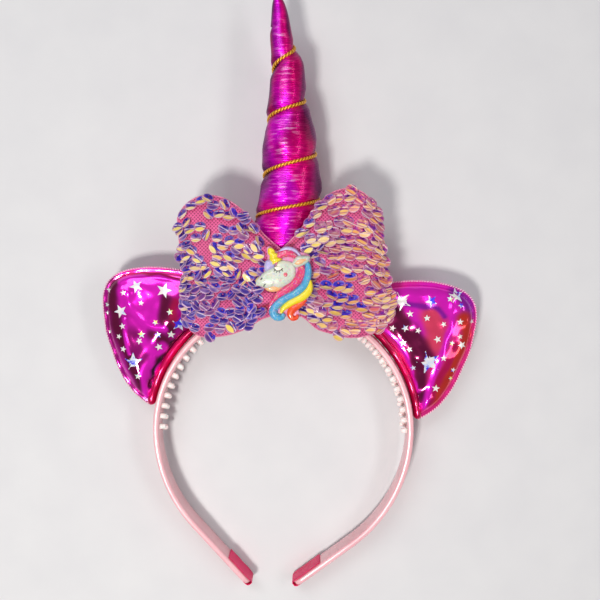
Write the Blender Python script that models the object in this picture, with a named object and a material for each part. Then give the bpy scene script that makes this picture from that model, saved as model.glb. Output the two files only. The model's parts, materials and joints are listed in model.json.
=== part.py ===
"""Unicorn horn headband, lying on its back on a table.

A toothed plastic band is covered with satin ribbon. Two padded ears and a stuffed horn wound with
a gold cord stand on it, and a gathered bow with a resin unicorn charm covers the horn's foot.

Everything is modelled in the band's own frame: x to the wearer's left as seen from the front,
y up along the horn, z out of the bow's front, with the centre of the arch at the origin.
The last step turns the whole headband so that it rests on z = 0 by its own weight.
Lengths are metres and angles are radians.
"""
import math

import bmesh
import bpy
import numpy as np
from mathutils import Matrix, Vector

FIT_GAP = 0.0003

# Band
ARCH_RADIUS = 0.0630
BAND_WIDTH = 0.0110
PLASTIC_WALL = 0.0020
RIBBON_WALL = 0.0010
RIBBON_TURN_IN = 0.0150
ARM_BEND_RADIUS = 0.0720
LEFT_ARM_BEND = math.radians(41.5)
LEFT_ARM_STRAIGHT = 0.0415
RIGHT_ARM_BEND = math.radians(53.0)
RIGHT_ARM_STRAIGHT = 0.0360
RIM_ROUNDING = 0.0004

# Comb teeth on the inner face
TOOTH_PITCH = 0.0053
TOOTH_HEIGHT = 0.0030
TOOTH_LENGTH = 0.0026
TOOTH_WIDTH = 0.0022
TOOTH_TIP_SHARE = 0.55
TOOTH_ROOT = 0.0005
TOOTH_ROW_SPACING = 0.0052
TOOTH_STAGGER = 0.0018
COMB_HALF_ANGLE = math.radians(94.0)

# Ears
EAR_HEIGHT = 0.0472
EAR_THICKNESS = 0.0130
EAR_BASE_ANGLE = math.radians(60.6)
LEFT_EAR_FOOT = math.radians(10.2)
RIGHT_EAR_FOOT = math.radians(4.2)
EAR_FLANGE = 0.0036
EAR_FLANGE_THICKNESS = 0.0018
EAR_PUFF = 0.0110
EAR_HEM = 0.0042
EAR_HEM_THICKNESS = 0.0070
EAR_HEM_FOOT_SHARE = 0.45
EAR_MIDDLE_SHARE = 0.42

# Horn
HORN_LENGTH = 0.1405
HORN_RADIUS = 0.0163
GROOVE_DEPTH = 0.0015
GROOVE_WIDTH = 0.0100
CORD_RADIUS = 0.00075
CORD_CLEARANCE = 0.0005
CORD_FIRST_HALF_TURN = -0.30
CORD_LAST_HALF_TURN = 10.35
GROOVE_RUN_ON = 0.6
HORN_SETTLE_SHARE = 0.22
HORN_ROW_CROWDING = 1.15
HORN_SIDES = 20
HORN_ROWS = 56

# Bow
BOW_REACH = 0.0510
BOW_HEIGHT = 0.0700
BOW_ABOVE_ARCH = 0.0100
BOW_THICKNESS = 0.0052
BOW_EDGE = 0.0016
BOW_SEAM = 0.0060
BOW_LIFT = 0.0022
BOW_SHOULDER = 0.0300
GATHER_DEPTH = 0.0011
GATHER_REACH = 0.0200
GATHER_FOLDS = 3.5
GATHER_START = 0.0040

# Charm
CHARM_WIDTH = 0.0260
CHARM_HEIGHT = 0.0330
CHARM_BACK = 0.0016
CHARM_HEAD = 0.0032
STRAND_RADIUS = 0.0015

STEPS_PER_TURN = 90

# Outline of an ear: share of the base angle from its foot, share of the ear's height.
EAR_OUTLINE = (
    (0.000, 0.05), (0.053, 0.22), (0.120, 0.37), (0.190, 0.50), (0.252, 0.61),
    (0.312, 0.73), (0.371, 0.83), (0.427, 0.93), (0.477, 0.99), (0.526, 1.00),
    (0.582, 0.955), (0.670, 0.82), (0.784, 0.61), (0.880, 0.42), (0.960, 0.22),
    (1.000, 0.05),
)

# Horn: share of its length, share of its full radius, sideways lean as a share of its length.
HORN_PROFILE = (
    (0.000, 0.72, 0.004), (0.040, 0.84, 0.005), (0.090, 0.92, 0.007), (0.170, 1.02, 0.010),
    (0.230, 0.99, 0.013), (0.286, 0.96, 0.016), (0.340, 0.92, 0.024), (0.413, 0.86, 0.028),
    (0.466, 0.82, 0.027), (0.519, 0.79, 0.024), (0.572, 0.71, 0.023), (0.625, 0.63, 0.020),
    (0.677, 0.55, 0.017), (0.729, 0.52, 0.018), (0.780, 0.47, 0.016), (0.841, 0.36, 0.002),
    (0.921, 0.27, -0.006), (0.985, 0.155, -0.013), (1.000, 0.00, -0.014),
)

# Cord: share of the horn's length at each half turn, from the right side round the back.
CORD_HALF_TURNS = (0.052, 0.127, 0.198, 0.279, 0.338, 0.416, 0.487, 0.600, 0.662, 0.763, 0.834)

# Wings of the bow: share of the reach outward, share of the bow's height above its middle.
LEFT_WING_TOP = (
    (0.00, 0.211), (0.153, 0.307), (0.278, 0.416), (0.424, 0.513), (0.578, 0.567),
    (0.753, 0.567), (0.888, 0.510), (0.963, 0.424),
)
LEFT_WING_BOTTOM = (
    (0.00, -0.210), (0.175, -0.249), (0.331, -0.319), (0.488, -0.363), (0.631, -0.380),
    (0.753, -0.381), (0.853, -0.341), (0.896, -0.274),
)
LEFT_WING_SIDE = (
    (0.896, -0.274), (0.912, -0.161), (0.918, -0.041), (0.908, 0.057), (0.939, 0.216),
    (0.963, 0.424),
)
RIGHT_WING_TOP = (
    (0.00, 0.211), (0.173, 0.344), (0.288, 0.473), (0.429, 0.577), (0.573, 0.617),
    (0.725, 0.599), (0.843, 0.514), (0.898, 0.437),
)
RIGHT_WING_BOTTOM = (
    (0.00, -0.210), (0.190, -0.236), (0.324, -0.319), (0.488, -0.361), (0.635, -0.386),
    (0.808, -0.367), (0.945, -0.301), (1.016, -0.181),
)
RIGHT_WING_SIDE = (
    (1.016, -0.181), (1.024, -0.127), (0.976, -0.029), (0.937, 0.143), (0.916, 0.247),
    (0.898, 0.437),
)

# Charm outlines: share of its width and of its height from its middle.
CHARM_OUTLINE = (
    (-0.44, -0.01), (-0.33, 0.10), (-0.26, 0.24), (-0.24, 0.36), (-0.24, 0.485), (-0.16, 0.485),
    (-0.08, 0.42), (0.10, 0.475), (0.28, 0.42), (0.47, 0.37), (0.47, 0.20), (0.50, 0.00),
    (0.48, -0.14), (0.40, -0.27), (0.27, -0.34), (0.30, -0.43), (0.20, -0.485), (0.02, -0.47),
    (-0.08, -0.485), (-0.18, -0.42), (-0.19, -0.31), (-0.10, -0.20), (-0.10, -0.11),
    (-0.30, -0.09),
)
CHARM_HEAD_OUTLINE = (
    (-0.44, -0.01), (-0.31, 0.12), (-0.15, 0.27), (0.06, 0.33), (0.24, 0.24), (0.24, 0.06),
    (0.08, -0.07), (-0.20, -0.07),
)
BLUE_STRAND = (
    (0.42, 0.28), (0.45, 0.13), (0.40, 0.02), (0.26, -0.10), (0.08, -0.18), (-0.07, -0.27),
    (-0.13, -0.36),
)
YELLOW_STRAND = (
    (0.45, -0.04), (0.42, -0.13), (0.32, -0.21), (0.18, -0.28), (0.06, -0.34), (0.00, -0.42),
)
PINK_STRAND = (
    (0.31, 0.22), (0.30, 0.10), (0.22, 0.00), (0.10, -0.07), (0.02, -0.12),
)


def clear_scene():
    for item in list(bpy.data.objects):
        bpy.data.objects.remove(item, do_unlink=True)


def new_collection(name):
    collection = bpy.data.collections.new(name)
    bpy.context.scene.collection.children.link(collection)
    return collection


def make_material(name, colour, roughness, metallic=0.0):
    material = bpy.data.materials.new(name)
    material.use_nodes = True
    shader = material.node_tree.nodes["Principled BSDF"]
    shader.inputs["Base Color"].default_value = (*colour, 1.0)
    shader.inputs["Roughness"].default_value = roughness
    shader.inputs["Metallic"].default_value = metallic
    return material


def smooth_line(points, count):
    """Return count points on a Catmull-Rom curve through the given points."""
    knots = np.asarray(points, float)
    padded = np.vstack((2 * knots[0] - knots[1], knots, 2 * knots[-1] - knots[-2]))
    place = np.linspace(0.0, len(knots) - 1.0, count)
    first = np.minimum(place.astype(int), len(knots) - 2)
    t = (place - first)[:, None]
    a, b, c, d = (padded[first + k] for k in range(4))
    return 0.5 * (2 * b + (c - a) * t + (2 * a - 5 * b + 4 * c - d) * t ** 2
                  + (3 * b - a - 3 * c + d) * t ** 3)


def make_object(name, mesh, collection, material):
    item = bpy.data.objects.new(name, mesh)
    mesh.materials.clear()
    mesh.materials.append(material)
    collection.objects.link(item)
    return item


def loft(name, sections, pole_ends):
    """Skin closed loops of points; the ends run to a pole or are closed across like a seam."""
    around = sections.shape[1]
    shell = bmesh.new()
    loops = [[shell.verts.new(point) for point in section] for section in sections]
    for lower, upper in zip(loops, loops[1:]):
        for k in range(around):
            n = (k + 1) % around
            shell.faces.new((lower[k], lower[n], upper[n], upper[k]))
    if pole_ends:
        for loop in (loops[0], loops[-1]):
            middle = sum((vertex.co for vertex in loop), Vector()) / around
            pole = shell.verts.new(middle)
            for k in range(around):
                shell.faces.new((loop[k], loop[(k + 1) % around], pole))
    else:
        for loop in (loops[0], loops[-1]):
            for k in range(around // 2 - 1):
                shell.faces.new((loop[k], loop[k + 1], loop[around - 2 - k], loop[around - 1 - k]))
    bmesh.ops.recalc_face_normals(shell, faces=shell.faces)
    mesh = bpy.data.meshes.new(name)
    shell.to_mesh(mesh)
    shell.free()
    mesh.shade_smooth()
    return mesh


def flat_solid(name, outline, bottom, top):
    """Extrude a closed outline in x and y between two heights."""
    curve = bpy.data.curves.new(name, "CURVE")
    curve.dimensions = "2D"
    curve.fill_mode = "BOTH"
    curve.extrude = (top - bottom) / 2
    spline = curve.splines.new("POLY")
    spline.points.add(len(outline) - 1)
    for point, (x, y) in zip(spline.points, outline):
        point.co = (x, y, 0.0, 1.0)
    spline.use_cyclic_u = True
    return curve_to_mesh(name, curve, (top + bottom) / 2)


def curve_to_mesh(name, curve, lift=0.0):
    """Turn a curve into a closed mesh, welding its caps, and raise it."""
    guide = bpy.data.objects.new(name + "_guide", curve)
    bpy.context.scene.collection.objects.link(guide)
    graph = bpy.context.evaluated_depsgraph_get()
    mesh = bpy.data.meshes.new_from_object(guide.evaluated_get(graph))
    bpy.data.objects.remove(guide, do_unlink=True)
    shell = bmesh.new()
    shell.from_mesh(mesh)
    bmesh.ops.remove_doubles(shell, verts=shell.verts, dist=FIT_GAP / 10)
    bmesh.ops.translate(shell, verts=shell.verts, vec=(0.0, 0.0, lift))
    bmesh.ops.recalc_face_normals(shell, faces=shell.faces)
    shell.to_mesh(mesh)
    shell.free()
    return mesh


def tube(name, points, radius, sides_quality=2):
    """A round bar along points, with closed ends."""
    curve = bpy.data.curves.new(name, "CURVE")
    curve.dimensions = "3D"
    curve.bevel_depth = radius
    curve.bevel_resolution = sides_quality
    curve.use_fill_caps = True
    spline = curve.splines.new("POLY")
    spline.points.add(len(points) - 1)
    for point, place in zip(spline.points, points):
        point.co = (*place, 1.0)
    return curve_to_mesh(name, curve)


def join_with(item, meshes, cutters):
    """Fuse meshes to an object, one union after another."""
    for mesh in meshes:
        addition = bpy.data.objects.new(mesh.name + "_addition", mesh)
        addition.hide_render = True
        addition.display_type = "WIRE"
        cutters.objects.link(addition)
        union = item.modifiers.new("join " + mesh.name, "BOOLEAN")
        union.operation = "UNION"
        union.solver = "EXACT"
        union.object = addition


def band_line(depth, trim):
    """Points along the band at a depth below the ribbon's face, from left tip to right tip."""
    arch_steps = 2 * round(STEPS_PER_TURN / 4) + 1
    arch = np.linspace(math.pi, 0.0, arch_steps + 1)
    line = []

    def arm(side, bend, straight):
        centre = -side * (ARM_BEND_RADIUS - ARCH_RADIUS)
        steps = max(4, round(bend / (2 * math.pi) * STEPS_PER_TURN))
        turn = np.linspace(0.0, bend, steps + 1)[1:]
        radius = ARM_BEND_RADIUS - depth
        points = [(centre + side * radius * math.cos(a), -radius * math.sin(a)) for a in turn]
        x, y = points[-1]
        run = straight - trim
        points.append((x - side * run * math.sin(bend), y - run * math.cos(bend)))
        return points

    line.extend(reversed(arm(-1.0, LEFT_ARM_BEND, LEFT_ARM_STRAIGHT)))
    radius = ARCH_RADIUS - depth
    line.extend((radius * math.cos(a), radius * math.sin(a)) for a in arch)
    line.extend(arm(1.0, RIGHT_ARM_BEND, RIGHT_ARM_STRAIGHT))
    return line


def plastic_depth():
    return RIBBON_WALL + FIT_GAP


def round_rims(mesh, size):
    """Round the edges between the flat front or back and the walls."""
    shell = bmesh.new()
    shell.from_mesh(mesh)
    bmesh.ops.dissolve_limit(shell, angle_limit=0.001, verts=shell.verts, edges=shell.edges)
    rims = [edge for edge in shell.edges if len(edge.link_faces) == 2
            and any(abs(face.normal.z) > 0.99 for face in edge.link_faces)
            and any(abs(face.normal.z) < 0.01 for face in edge.link_faces)]
    bmesh.ops.bevel(shell, geom=rims, offset=size, segments=1, affect="EDGES",
                    clamp_overlap=True)
    shell.to_mesh(mesh)
    shell.free()


def build_band(parts, cutters):
    face = plastic_depth()
    outer = band_line(face, face)
    inner = band_line(face + PLASTIC_WALL, face)
    half = BAND_WIDTH / 2
    mesh = flat_solid("band", outer + inner[::-1], -half, half)
    round_rims(mesh, RIM_ROUNDING)
    mesh.set_sharp_from_angle(angle=math.radians(30.0))
    band = make_object("band", mesh, parts,
                       make_material("pale pink plastic", (0.86, 0.50, 0.62), 0.28))

    radius = ARCH_RADIUS - face - PLASTIC_WALL
    comb = bmesh.new()
    rows = ((TOOTH_ROW_SPACING / 2, TOOTH_STAGGER / 2), (-TOOTH_ROW_SPACING / 2, -TOOTH_STAGGER / 2))
    pairs = int(COMB_HALF_ANGLE * radius / TOOTH_PITCH)
    for k in range(-pairs, pairs):
        for z, shift in rows:
            angle = math.pi / 2 - ((k + 0.5) * TOOTH_PITCH + shift) / radius
            reach = radius + TOOTH_ROOT - (TOOTH_HEIGHT + TOOTH_ROOT) / 2
            place = (Matrix.Rotation(angle, 4, "Z") @ Matrix.Translation((reach, 0.0, z))
                     @ Matrix.Diagonal((1.0, TOOTH_LENGTH, TOOTH_WIDTH, 1.0))
                     @ Matrix.Rotation(math.radians(-90.0), 4, "Y")
                     @ Matrix.Rotation(math.radians(45.0), 4, "Z"))
            corner = math.sqrt(0.5)
            bmesh.ops.create_cone(comb, cap_ends=True, segments=4, radius1=corner,
                                  radius2=corner * TOOTH_TIP_SHARE,
                                  depth=TOOTH_HEIGHT + TOOTH_ROOT, matrix=place)
    bmesh.ops.recalc_face_normals(comb, faces=comb.faces)
    teeth = bpy.data.meshes.new("teeth")
    comb.to_mesh(teeth)
    comb.free()
    join_with(band, [teeth], cutters)
    return band


def build_ribbon(parts):
    """Cover the outer face and fold round each tip onto the inner face."""
    stack = plastic_depth() + PLASTIC_WALL + FIT_GAP
    folded = band_line(stack + RIBBON_WALL, 0.0)
    folded_end = band_line(stack + RIBBON_WALL, RIBBON_TURN_IN)
    under = band_line(stack, RIBBON_WALL)
    under_end = band_line(stack, RIBBON_TURN_IN)
    outline = ([folded_end[0], folded[0]] + band_line(0.0, 0.0) + [folded[-1], folded_end[-1]]
               + [under_end[-1], under[-1]] + band_line(RIBBON_WALL, RIBBON_WALL)[::-1]
               + [under[0], under_end[0]])
    half = BAND_WIDTH / 2
    mesh = flat_solid("ribbon", outline, -half, half)
    mesh.set_sharp_from_angle(angle=math.radians(30.0))
    return make_object("ribbon", mesh, parts, make_material("pink satin", (0.72, 0.03, 0.16), 0.4))


def distance_to(points, line):
    """Shortest distance from each point to a chain of straight pieces."""
    start = line[:-1][None]
    run = (line[1:] - line[:-1])[None]
    offset = points[:, None] - start
    along = np.clip((offset * run).sum(2) / (run ** 2).sum(2), 0.0, 1.0)[..., None]
    return np.linalg.norm(offset - along * run, axis=2).min(1)


def ear_half_thickness(points, free_edge, seat):
    """Flange at the sewn edge, puffed middle, and a rolled hem along the band."""
    from_edge = distance_to(points, free_edge)
    puff = np.clip((from_edge - EAR_FLANGE) / EAR_PUFF, 0.0, 1.0)
    flange = EAR_FLANGE_THICKNESS / 2
    pillow = flange + (EAR_THICKNESS / 2 - flange) * np.sqrt(1.0 - (1.0 - puff) ** 2)
    from_band = np.linalg.norm(points, axis=1) - seat
    across = np.clip(from_band / EAR_HEM, 0.0, 1.0)
    waist = EAR_HEM_THICKNESS / 2 * EAR_HEM_FOOT_SHARE
    roll = waist + (EAR_HEM_THICKNESS / 2 - waist) * np.sin(math.pi * across)
    beyond = np.clip((from_band - EAR_HEM) / EAR_PUFF, 0.0, 1.0)
    rise = waist + (EAR_THICKNESS / 2 - waist) * np.sqrt(1.0 - (1.0 - beyond) ** 2)
    near_band = np.where(from_band < EAR_HEM, roll, rise)
    return np.minimum(pillow, near_band)


def build_ear(name, side, foot_angle, parts, material):
    seat = ARCH_RADIUS + FIT_GAP
    shares = smooth_line(EAR_OUTLINE, 30)
    angle = foot_angle + EAR_BASE_ANGLE * shares[:, 0]
    reach = seat + EAR_HEIGHT * shares[:, 1]
    free = np.stack((reach * np.cos(angle), reach * np.sin(angle)), 1)
    base_angle = np.linspace(angle[-1], angle[0], 15)
    base = seat * np.stack((np.cos(base_angle), np.sin(base_angle)), 1)
    outline = np.vstack((free, base))
    middle_angle = foot_angle + EAR_BASE_ANGLE / 2
    middle_reach = seat + EAR_HEIGHT * EAR_MIDDLE_SHARE
    middle = middle_reach * np.array((math.cos(middle_angle), math.sin(middle_angle)))
    rings = (0.14, 0.38, 0.60, 0.76, 0.87, 0.94, 1.0)
    fronts = []
    for ring in rings:
        points = middle + (outline - middle) * ring
        half = ear_half_thickness(points, free, seat)
        fronts.append(np.column_stack((side * points[:, 0], points[:, 1], half)))
    backs = [front * (1.0, 1.0, -1.0) for front in reversed(fronts)]
    sections = np.array(fronts + backs)
    return make_object(name, loft(name, sections, True), parts, material)


def horn_column(share, column):
    table = np.array(HORN_PROFILE)
    curve = smooth_line(table, 1 + 12 * (len(table) - 1))
    order = np.argsort(curve[:, 0])
    return np.interp(share, curve[order, 0], curve[order, column])


def horn_radius(share):
    return HORN_RADIUS * np.maximum(horn_column(share, 1), 0.0)


def horn_lean(share):
    return HORN_LENGTH * horn_column(share, 2)


def wind_on(value, known, wanted):
    """Read wanted from known in the cord's table, running straight on past both ends."""
    first = wanted[0] + (value - known[0]) * (wanted[1] - wanted[0]) / (known[1] - known[0])
    slope = (wanted[-1] - wanted[-2]) / (known[-1] - known[-2])
    last = wanted[-1] + (value - known[-1]) * slope
    inside = np.interp(value, known, wanted)
    return np.where(value < known[0], first, np.where(value > known[-1], last, inside))


def cord_turns(share):
    """Half turns wound at a share of the horn's length."""
    return wind_on(share, np.array(CORD_HALF_TURNS), np.arange(len(CORD_HALF_TURNS), dtype=float))


def cord_share(turns):
    """Share of the horn's length that a number of half turns reaches."""
    return wind_on(turns, np.arange(len(CORD_HALF_TURNS), dtype=float), np.array(CORD_HALF_TURNS))


def groove_at(share, angle):
    """Depth pressed in by the cord; angle runs from the front towards the right side."""
    phase = (cord_turns(share) * math.pi + math.pi / 2 - angle) / (2 * math.pi)
    turns_away = np.abs(phase - np.round(phase))
    pitch = 2 * np.gradient(np.array(CORD_HALF_TURNS)).mean() * HORN_LENGTH
    across = np.clip(turns_away * pitch / (GROOVE_WIDTH / 2), 0.0, 1.0)
    turns = cord_turns(share)
    wound = ((turns > CORD_FIRST_HALF_TURN - GROOVE_RUN_ON)
             & (turns < CORD_LAST_HALF_TURN + GROOVE_RUN_ON))
    dent = GROOVE_DEPTH * (0.5 + 0.5 * np.cos(math.pi * across))
    thin = np.clip(horn_radius(share) / (HORN_RADIUS * 0.5), 0.0, 1.0)
    return np.where(wound, dent * thin, 0.0)


def horn_point(share, angle, outward=0.0):
    """A place on the horn's cloth, moved outward; the foot follows the band's arch."""
    radius = horn_radius(share) - groove_at(share, angle) + outward
    x = horn_lean(share) + radius * np.sin(angle)
    z = radius * np.cos(angle)
    seat = ARCH_RADIUS + FIT_GAP
    settle = np.clip(1.0 - share / HORN_SETTLE_SHARE, 0.0, 1.0) ** 2
    sag = np.sqrt(seat ** 2 - np.minimum(np.abs(x), seat * 0.9) ** 2) - seat
    y = seat + HORN_LENGTH * share + settle * sag
    return np.stack((x, y, z), -1)


def build_horn(parts):
    angle = np.linspace(0.0, 2 * math.pi, HORN_SIDES, endpoint=False)
    seat = ARCH_RADIUS + FIT_GAP
    sections = []
    foot = horn_point(np.zeros(HORN_SIDES), angle)
    for ring in (0.3, 0.6, 0.85):
        x = horn_lean(0.0) + (foot[:, 0] - horn_lean(0.0)) * ring
        sections.append(np.stack((x, np.sqrt(seat ** 2 - x ** 2), foot[:, 2] * ring), -1))
    rows = 1.0 - np.linspace(1.0, 0.0, HORN_ROWS) ** HORN_ROW_CROWDING
    for share in rows[:-1]:
        sections.append(horn_point(np.full(HORN_SIDES, share), angle))
    last = horn_point(np.full(HORN_SIDES, 0.5 * (rows[-2] + 1.0)), angle)
    sections.append(last)
    mesh = loft("horn", np.array(sections), True)
    return make_object("horn", mesh, parts,
                       make_material("magenta lame", (0.45, 0.0, 0.35), 0.3, 0.7))


def build_horn_cord(parts):
    """Wind the cord up the groove, just clear of the cloth."""
    steps = round((CORD_LAST_HALF_TURN - CORD_FIRST_HALF_TURN) * HORN_SIDES / 2) + 1
    turns = np.linspace(CORD_FIRST_HALF_TURN, CORD_LAST_HALF_TURN, steps)
    angle = turns * math.pi + math.pi / 2
    points = horn_point(cord_share(turns), angle, CORD_RADIUS + CORD_CLEARANCE)
    mesh = tube("horn_cord", points, CORD_RADIUS)
    mesh.shade_smooth()
    return make_object("horn_cord", mesh, parts,
                       make_material("gold cord", (0.62, 0.36, 0.06), 0.35, 0.8))


def wing_points(top, bottom, side, side_sign, columns, rows):
    """Coons patch between a wing's four edges; columns run outward, rows run up."""
    scale = np.array((BOW_REACH * side_sign, BOW_HEIGHT))
    middle = np.array((0.0, ARCH_RADIUS + BOW_ABOVE_ARCH))
    upper = smooth_line(top, columns) * scale + middle
    lower = smooth_line(bottom, columns) * scale + middle
    outer = smooth_line(side, rows) * scale + middle
    u = np.linspace(0.0, 1.0, columns)[:, None, None]
    v = np.linspace(0.0, 1.0, rows)[None, :, None]
    inner = lower[0] + (upper[0] - lower[0]) * v[0]
    ruled = (1 - v) * lower[:, None] + v * upper[:, None]
    across = (1 - u) * inner[None] + u * outer[None]
    corners = ((1 - u) * (1 - v) * lower[0] + u * (1 - v) * lower[-1]
               + (1 - u) * v * upper[0] + u * v * upper[-1])
    return ruled + across - corners


def horn_front(x, y):
    """Height of the wound horn's front over a place in the band's plane; zero beside it."""
    share = np.clip((y - ARCH_RADIUS - FIT_GAP) / HORN_LENGTH, 0.0, 1.0)
    cord_proud = CORD_CLEARANCE + 2 * CORD_RADIUS - GROOVE_DEPTH
    radius = horn_radius(share) + max(cord_proud, 0.0)
    beside = x - horn_lean(share)
    return np.sqrt(np.clip(radius ** 2 - beside ** 2, 0.0, None))


def bow_heights(points, away, row_share):
    """Back and front height of the bow, with gathers that fan out from its middle."""
    x, y = points[..., 0], points[..., 1]
    middle_y = ARCH_RADIUS + BOW_ABOVE_ARCH
    seat = horn_front(np.zeros(1), np.array([middle_y]))[0] + FIT_GAP
    outer = EAR_THICKNESS / 2 + FIT_GAP + BOW_LIFT
    fall = np.exp(-(np.abs(x) / BOW_SHOULDER) ** 2)
    base = outer + (seat - outer) * fall
    fold = GATHER_DEPTH * np.cos(2 * math.pi * GATHER_FOLDS * row_share)
    start = np.clip(np.abs(x) / GATHER_START, 0.0, 1.0)
    base = base + fold * np.exp(-(np.abs(x) / GATHER_REACH) ** 2) * start
    full = BOW_EDGE + (BOW_THICKNESS - BOW_EDGE) * np.sqrt(np.clip(1 - (1 - away) ** 2, 0.0, 1.0))
    back = base + (BOW_THICKNESS - full) / 2
    back = np.maximum(back, horn_front(x, y) + 2 * FIT_GAP)
    front = np.maximum(base + (BOW_THICKNESS + full) / 2, back + BOW_EDGE)
    return back, front


def bow_top():
    """Height of the bow's front at its middle, which the charm's flat back rests on."""
    seat = horn_front(np.zeros(1), np.array([ARCH_RADIUS + BOW_ABOVE_ARCH]))[0]
    return seat + FIT_GAP + BOW_THICKNESS


def build_bow(parts):
    columns, rows = 11, 17
    left = wing_points(LEFT_WING_TOP, LEFT_WING_BOTTOM, LEFT_WING_SIDE, -1.0, columns, rows)
    right = wing_points(RIGHT_WING_TOP, RIGHT_WING_BOTTOM, RIGHT_WING_SIDE, 1.0, columns, rows)
    grid = np.concatenate((left[:0:-1], right))
    row_share = np.broadcast_to(np.linspace(0.0, 1.0, rows), grid.shape[:2])
    rim = np.concatenate((grid[:, 0], grid[-1, 1:], grid[::-1, -1][1:], grid[0, ::-1][1:]))
    flat = grid.reshape(-1, 2)
    away = np.clip(distance_to(flat, rim).reshape(grid.shape[:2]) / BOW_SEAM, 0.0, 1.0)
    back, front = bow_heights(grid, away, row_share)
    under_charm = np.abs(grid[..., 0]) < CHARM_WIDTH / 2 + BOW_SEAM
    front = np.where(under_charm, np.minimum(front, bow_top()), front)
    front_side = np.concatenate((grid, front[..., None]), 2)
    back_side = np.concatenate((grid, back[..., None]), 2)[:, ::-1]
    mesh = loft("bow", np.concatenate((front_side, back_side), 1), False)
    return make_object("bow", mesh, parts, make_material("pink mesh cloth", (0.80, 0.28, 0.45), 0.6))


def charm_line(table, count=None):
    shares = np.array(table) if count is None else smooth_line(table, count)
    middle = np.array((0.0, ARCH_RADIUS + BOW_ABOVE_ARCH))
    return shares * (CHARM_WIDTH, CHARM_HEIGHT) + middle


def build_charm(parts, cutters):
    bottom = bow_top() + FIT_GAP
    outline = smooth_line(CHARM_OUTLINE + CHARM_OUTLINE[:1], 49)[:-1]
    plate = flat_solid("charm", charm_line(outline), bottom, bottom + CHARM_BACK)
    charm = make_object("unicorn_charm", plate, parts,
                        make_material("glossy resin", (0.85, 0.80, 0.80), 0.15))
    head_line = smooth_line(CHARM_HEAD_OUTLINE + CHARM_HEAD_OUTLINE[:1], 25)[:-1]
    head = flat_solid("head", charm_line(head_line), bottom + CHARM_BACK / 2, bottom + CHARM_HEAD)
    additions = [head]
    lift = bottom + CHARM_BACK
    for name, table in (("blue", BLUE_STRAND), ("yellow", YELLOW_STRAND), ("pink", PINK_STRAND)):
        line = charm_line(table, 9)
        points = np.column_stack((line, np.full(len(line), lift)))
        additions.append(tube(name + "_strand", points, STRAND_RADIUS, 1))
    join_with(charm, additions, cutters)
    return charm


def solid_points(parts):
    """World corners, triangle volumes and centres of all parts."""
    graph = bpy.context.evaluated_depsgraph_get()
    corners, volume, moment = [], 0.0, np.zeros(3)
    for item in parts.objects:
        mesh = item.evaluated_get(graph).to_mesh()
        mesh.calc_loop_triangles()
        places = np.empty(len(mesh.vertices) * 3)
        mesh.vertices.foreach_get("co", places)
        places = places.reshape(-1, 3)
        triangles = np.empty(len(mesh.loop_triangles) * 3, dtype=np.int32)
        mesh.loop_triangles.foreach_get("vertices", triangles)
        a, b, c = (places[triangles.reshape(-1, 3)[:, k]] for k in range(3))
        pieces = (a * np.cross(b, c)).sum(1) / 6
        volume += pieces.sum()
        moment += (pieces[:, None] * (a + b + c) / 4).sum(0)
        corners.append(places)
        item.evaluated_get(graph).to_mesh_clear()
    return np.vstack(corners), moment / volume


def resting_angle(corners, centre):
    """Slope of the lower edge of the side outline that lies under the centre of mass."""
    behind = corners[corners[:, 1] < centre[1]]
    ahead = corners[corners[:, 1] > centre[1]]
    foot = behind[np.argmin(behind[:, 2])]
    for _ in range(8):
        touch = ahead[np.argmin((ahead[:, 2] - foot[2]) / (ahead[:, 1] - foot[1]))]
        foot = behind[np.argmax((touch[2] - behind[:, 2]) / (touch[1] - behind[:, 1]))]
    return math.atan2(touch[2] - foot[2], touch[1] - foot[1])


def lay_on_table(parts, cutters):
    """Turn the headband about x to the slope it rests at, and centre it over the origin."""
    corners, centre = solid_points(parts)
    turn = -resting_angle(corners, centre)
    rotated = corners @ np.array(Matrix.Rotation(turn, 3, "X")).T
    low, high = rotated.min(0), rotated.max(0)
    rest = bpy.data.objects.new("resting_place", None)
    parts.objects.link(rest)
    rest.rotation_euler = (turn, 0.0, 0.0)
    rest.location = (-(low[0] + high[0]) / 2, -(low[1] + high[1]) / 2, -low[2])
    for item in list(parts.objects) + list(cutters.objects):
        if item is not rest:
            item.parent = rest


def main():
    clear_scene()
    parts = new_collection("unicorn horn headband")
    cutters = new_collection("cutters")
    build_band(parts, cutters)
    build_ribbon(parts)
    foil = make_material("magenta foil", (0.75, 0.0, 0.45), 0.2, 0.8)
    build_ear("ear_left", -1.0, LEFT_EAR_FOOT, parts, foil)
    build_ear("ear_right", 1.0, RIGHT_EAR_FOOT, parts, foil)
    build_horn(parts)
    build_horn_cord(parts)
    build_bow(parts)
    build_charm(parts, cutters)
    lay_on_table(parts, cutters)


main()
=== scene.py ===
"""Unicorn horn headband: the finished surface of every piece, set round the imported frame.

Shapes are worked out in the band's own frame, in metres: x across, y up along the horn, z out of
the bow's front, with the centre of the arch at the origin. to_row() then lays them on the table.
"""
import json
import math

import bpy
import numpy as np
from mathutils import Matrix


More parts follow.
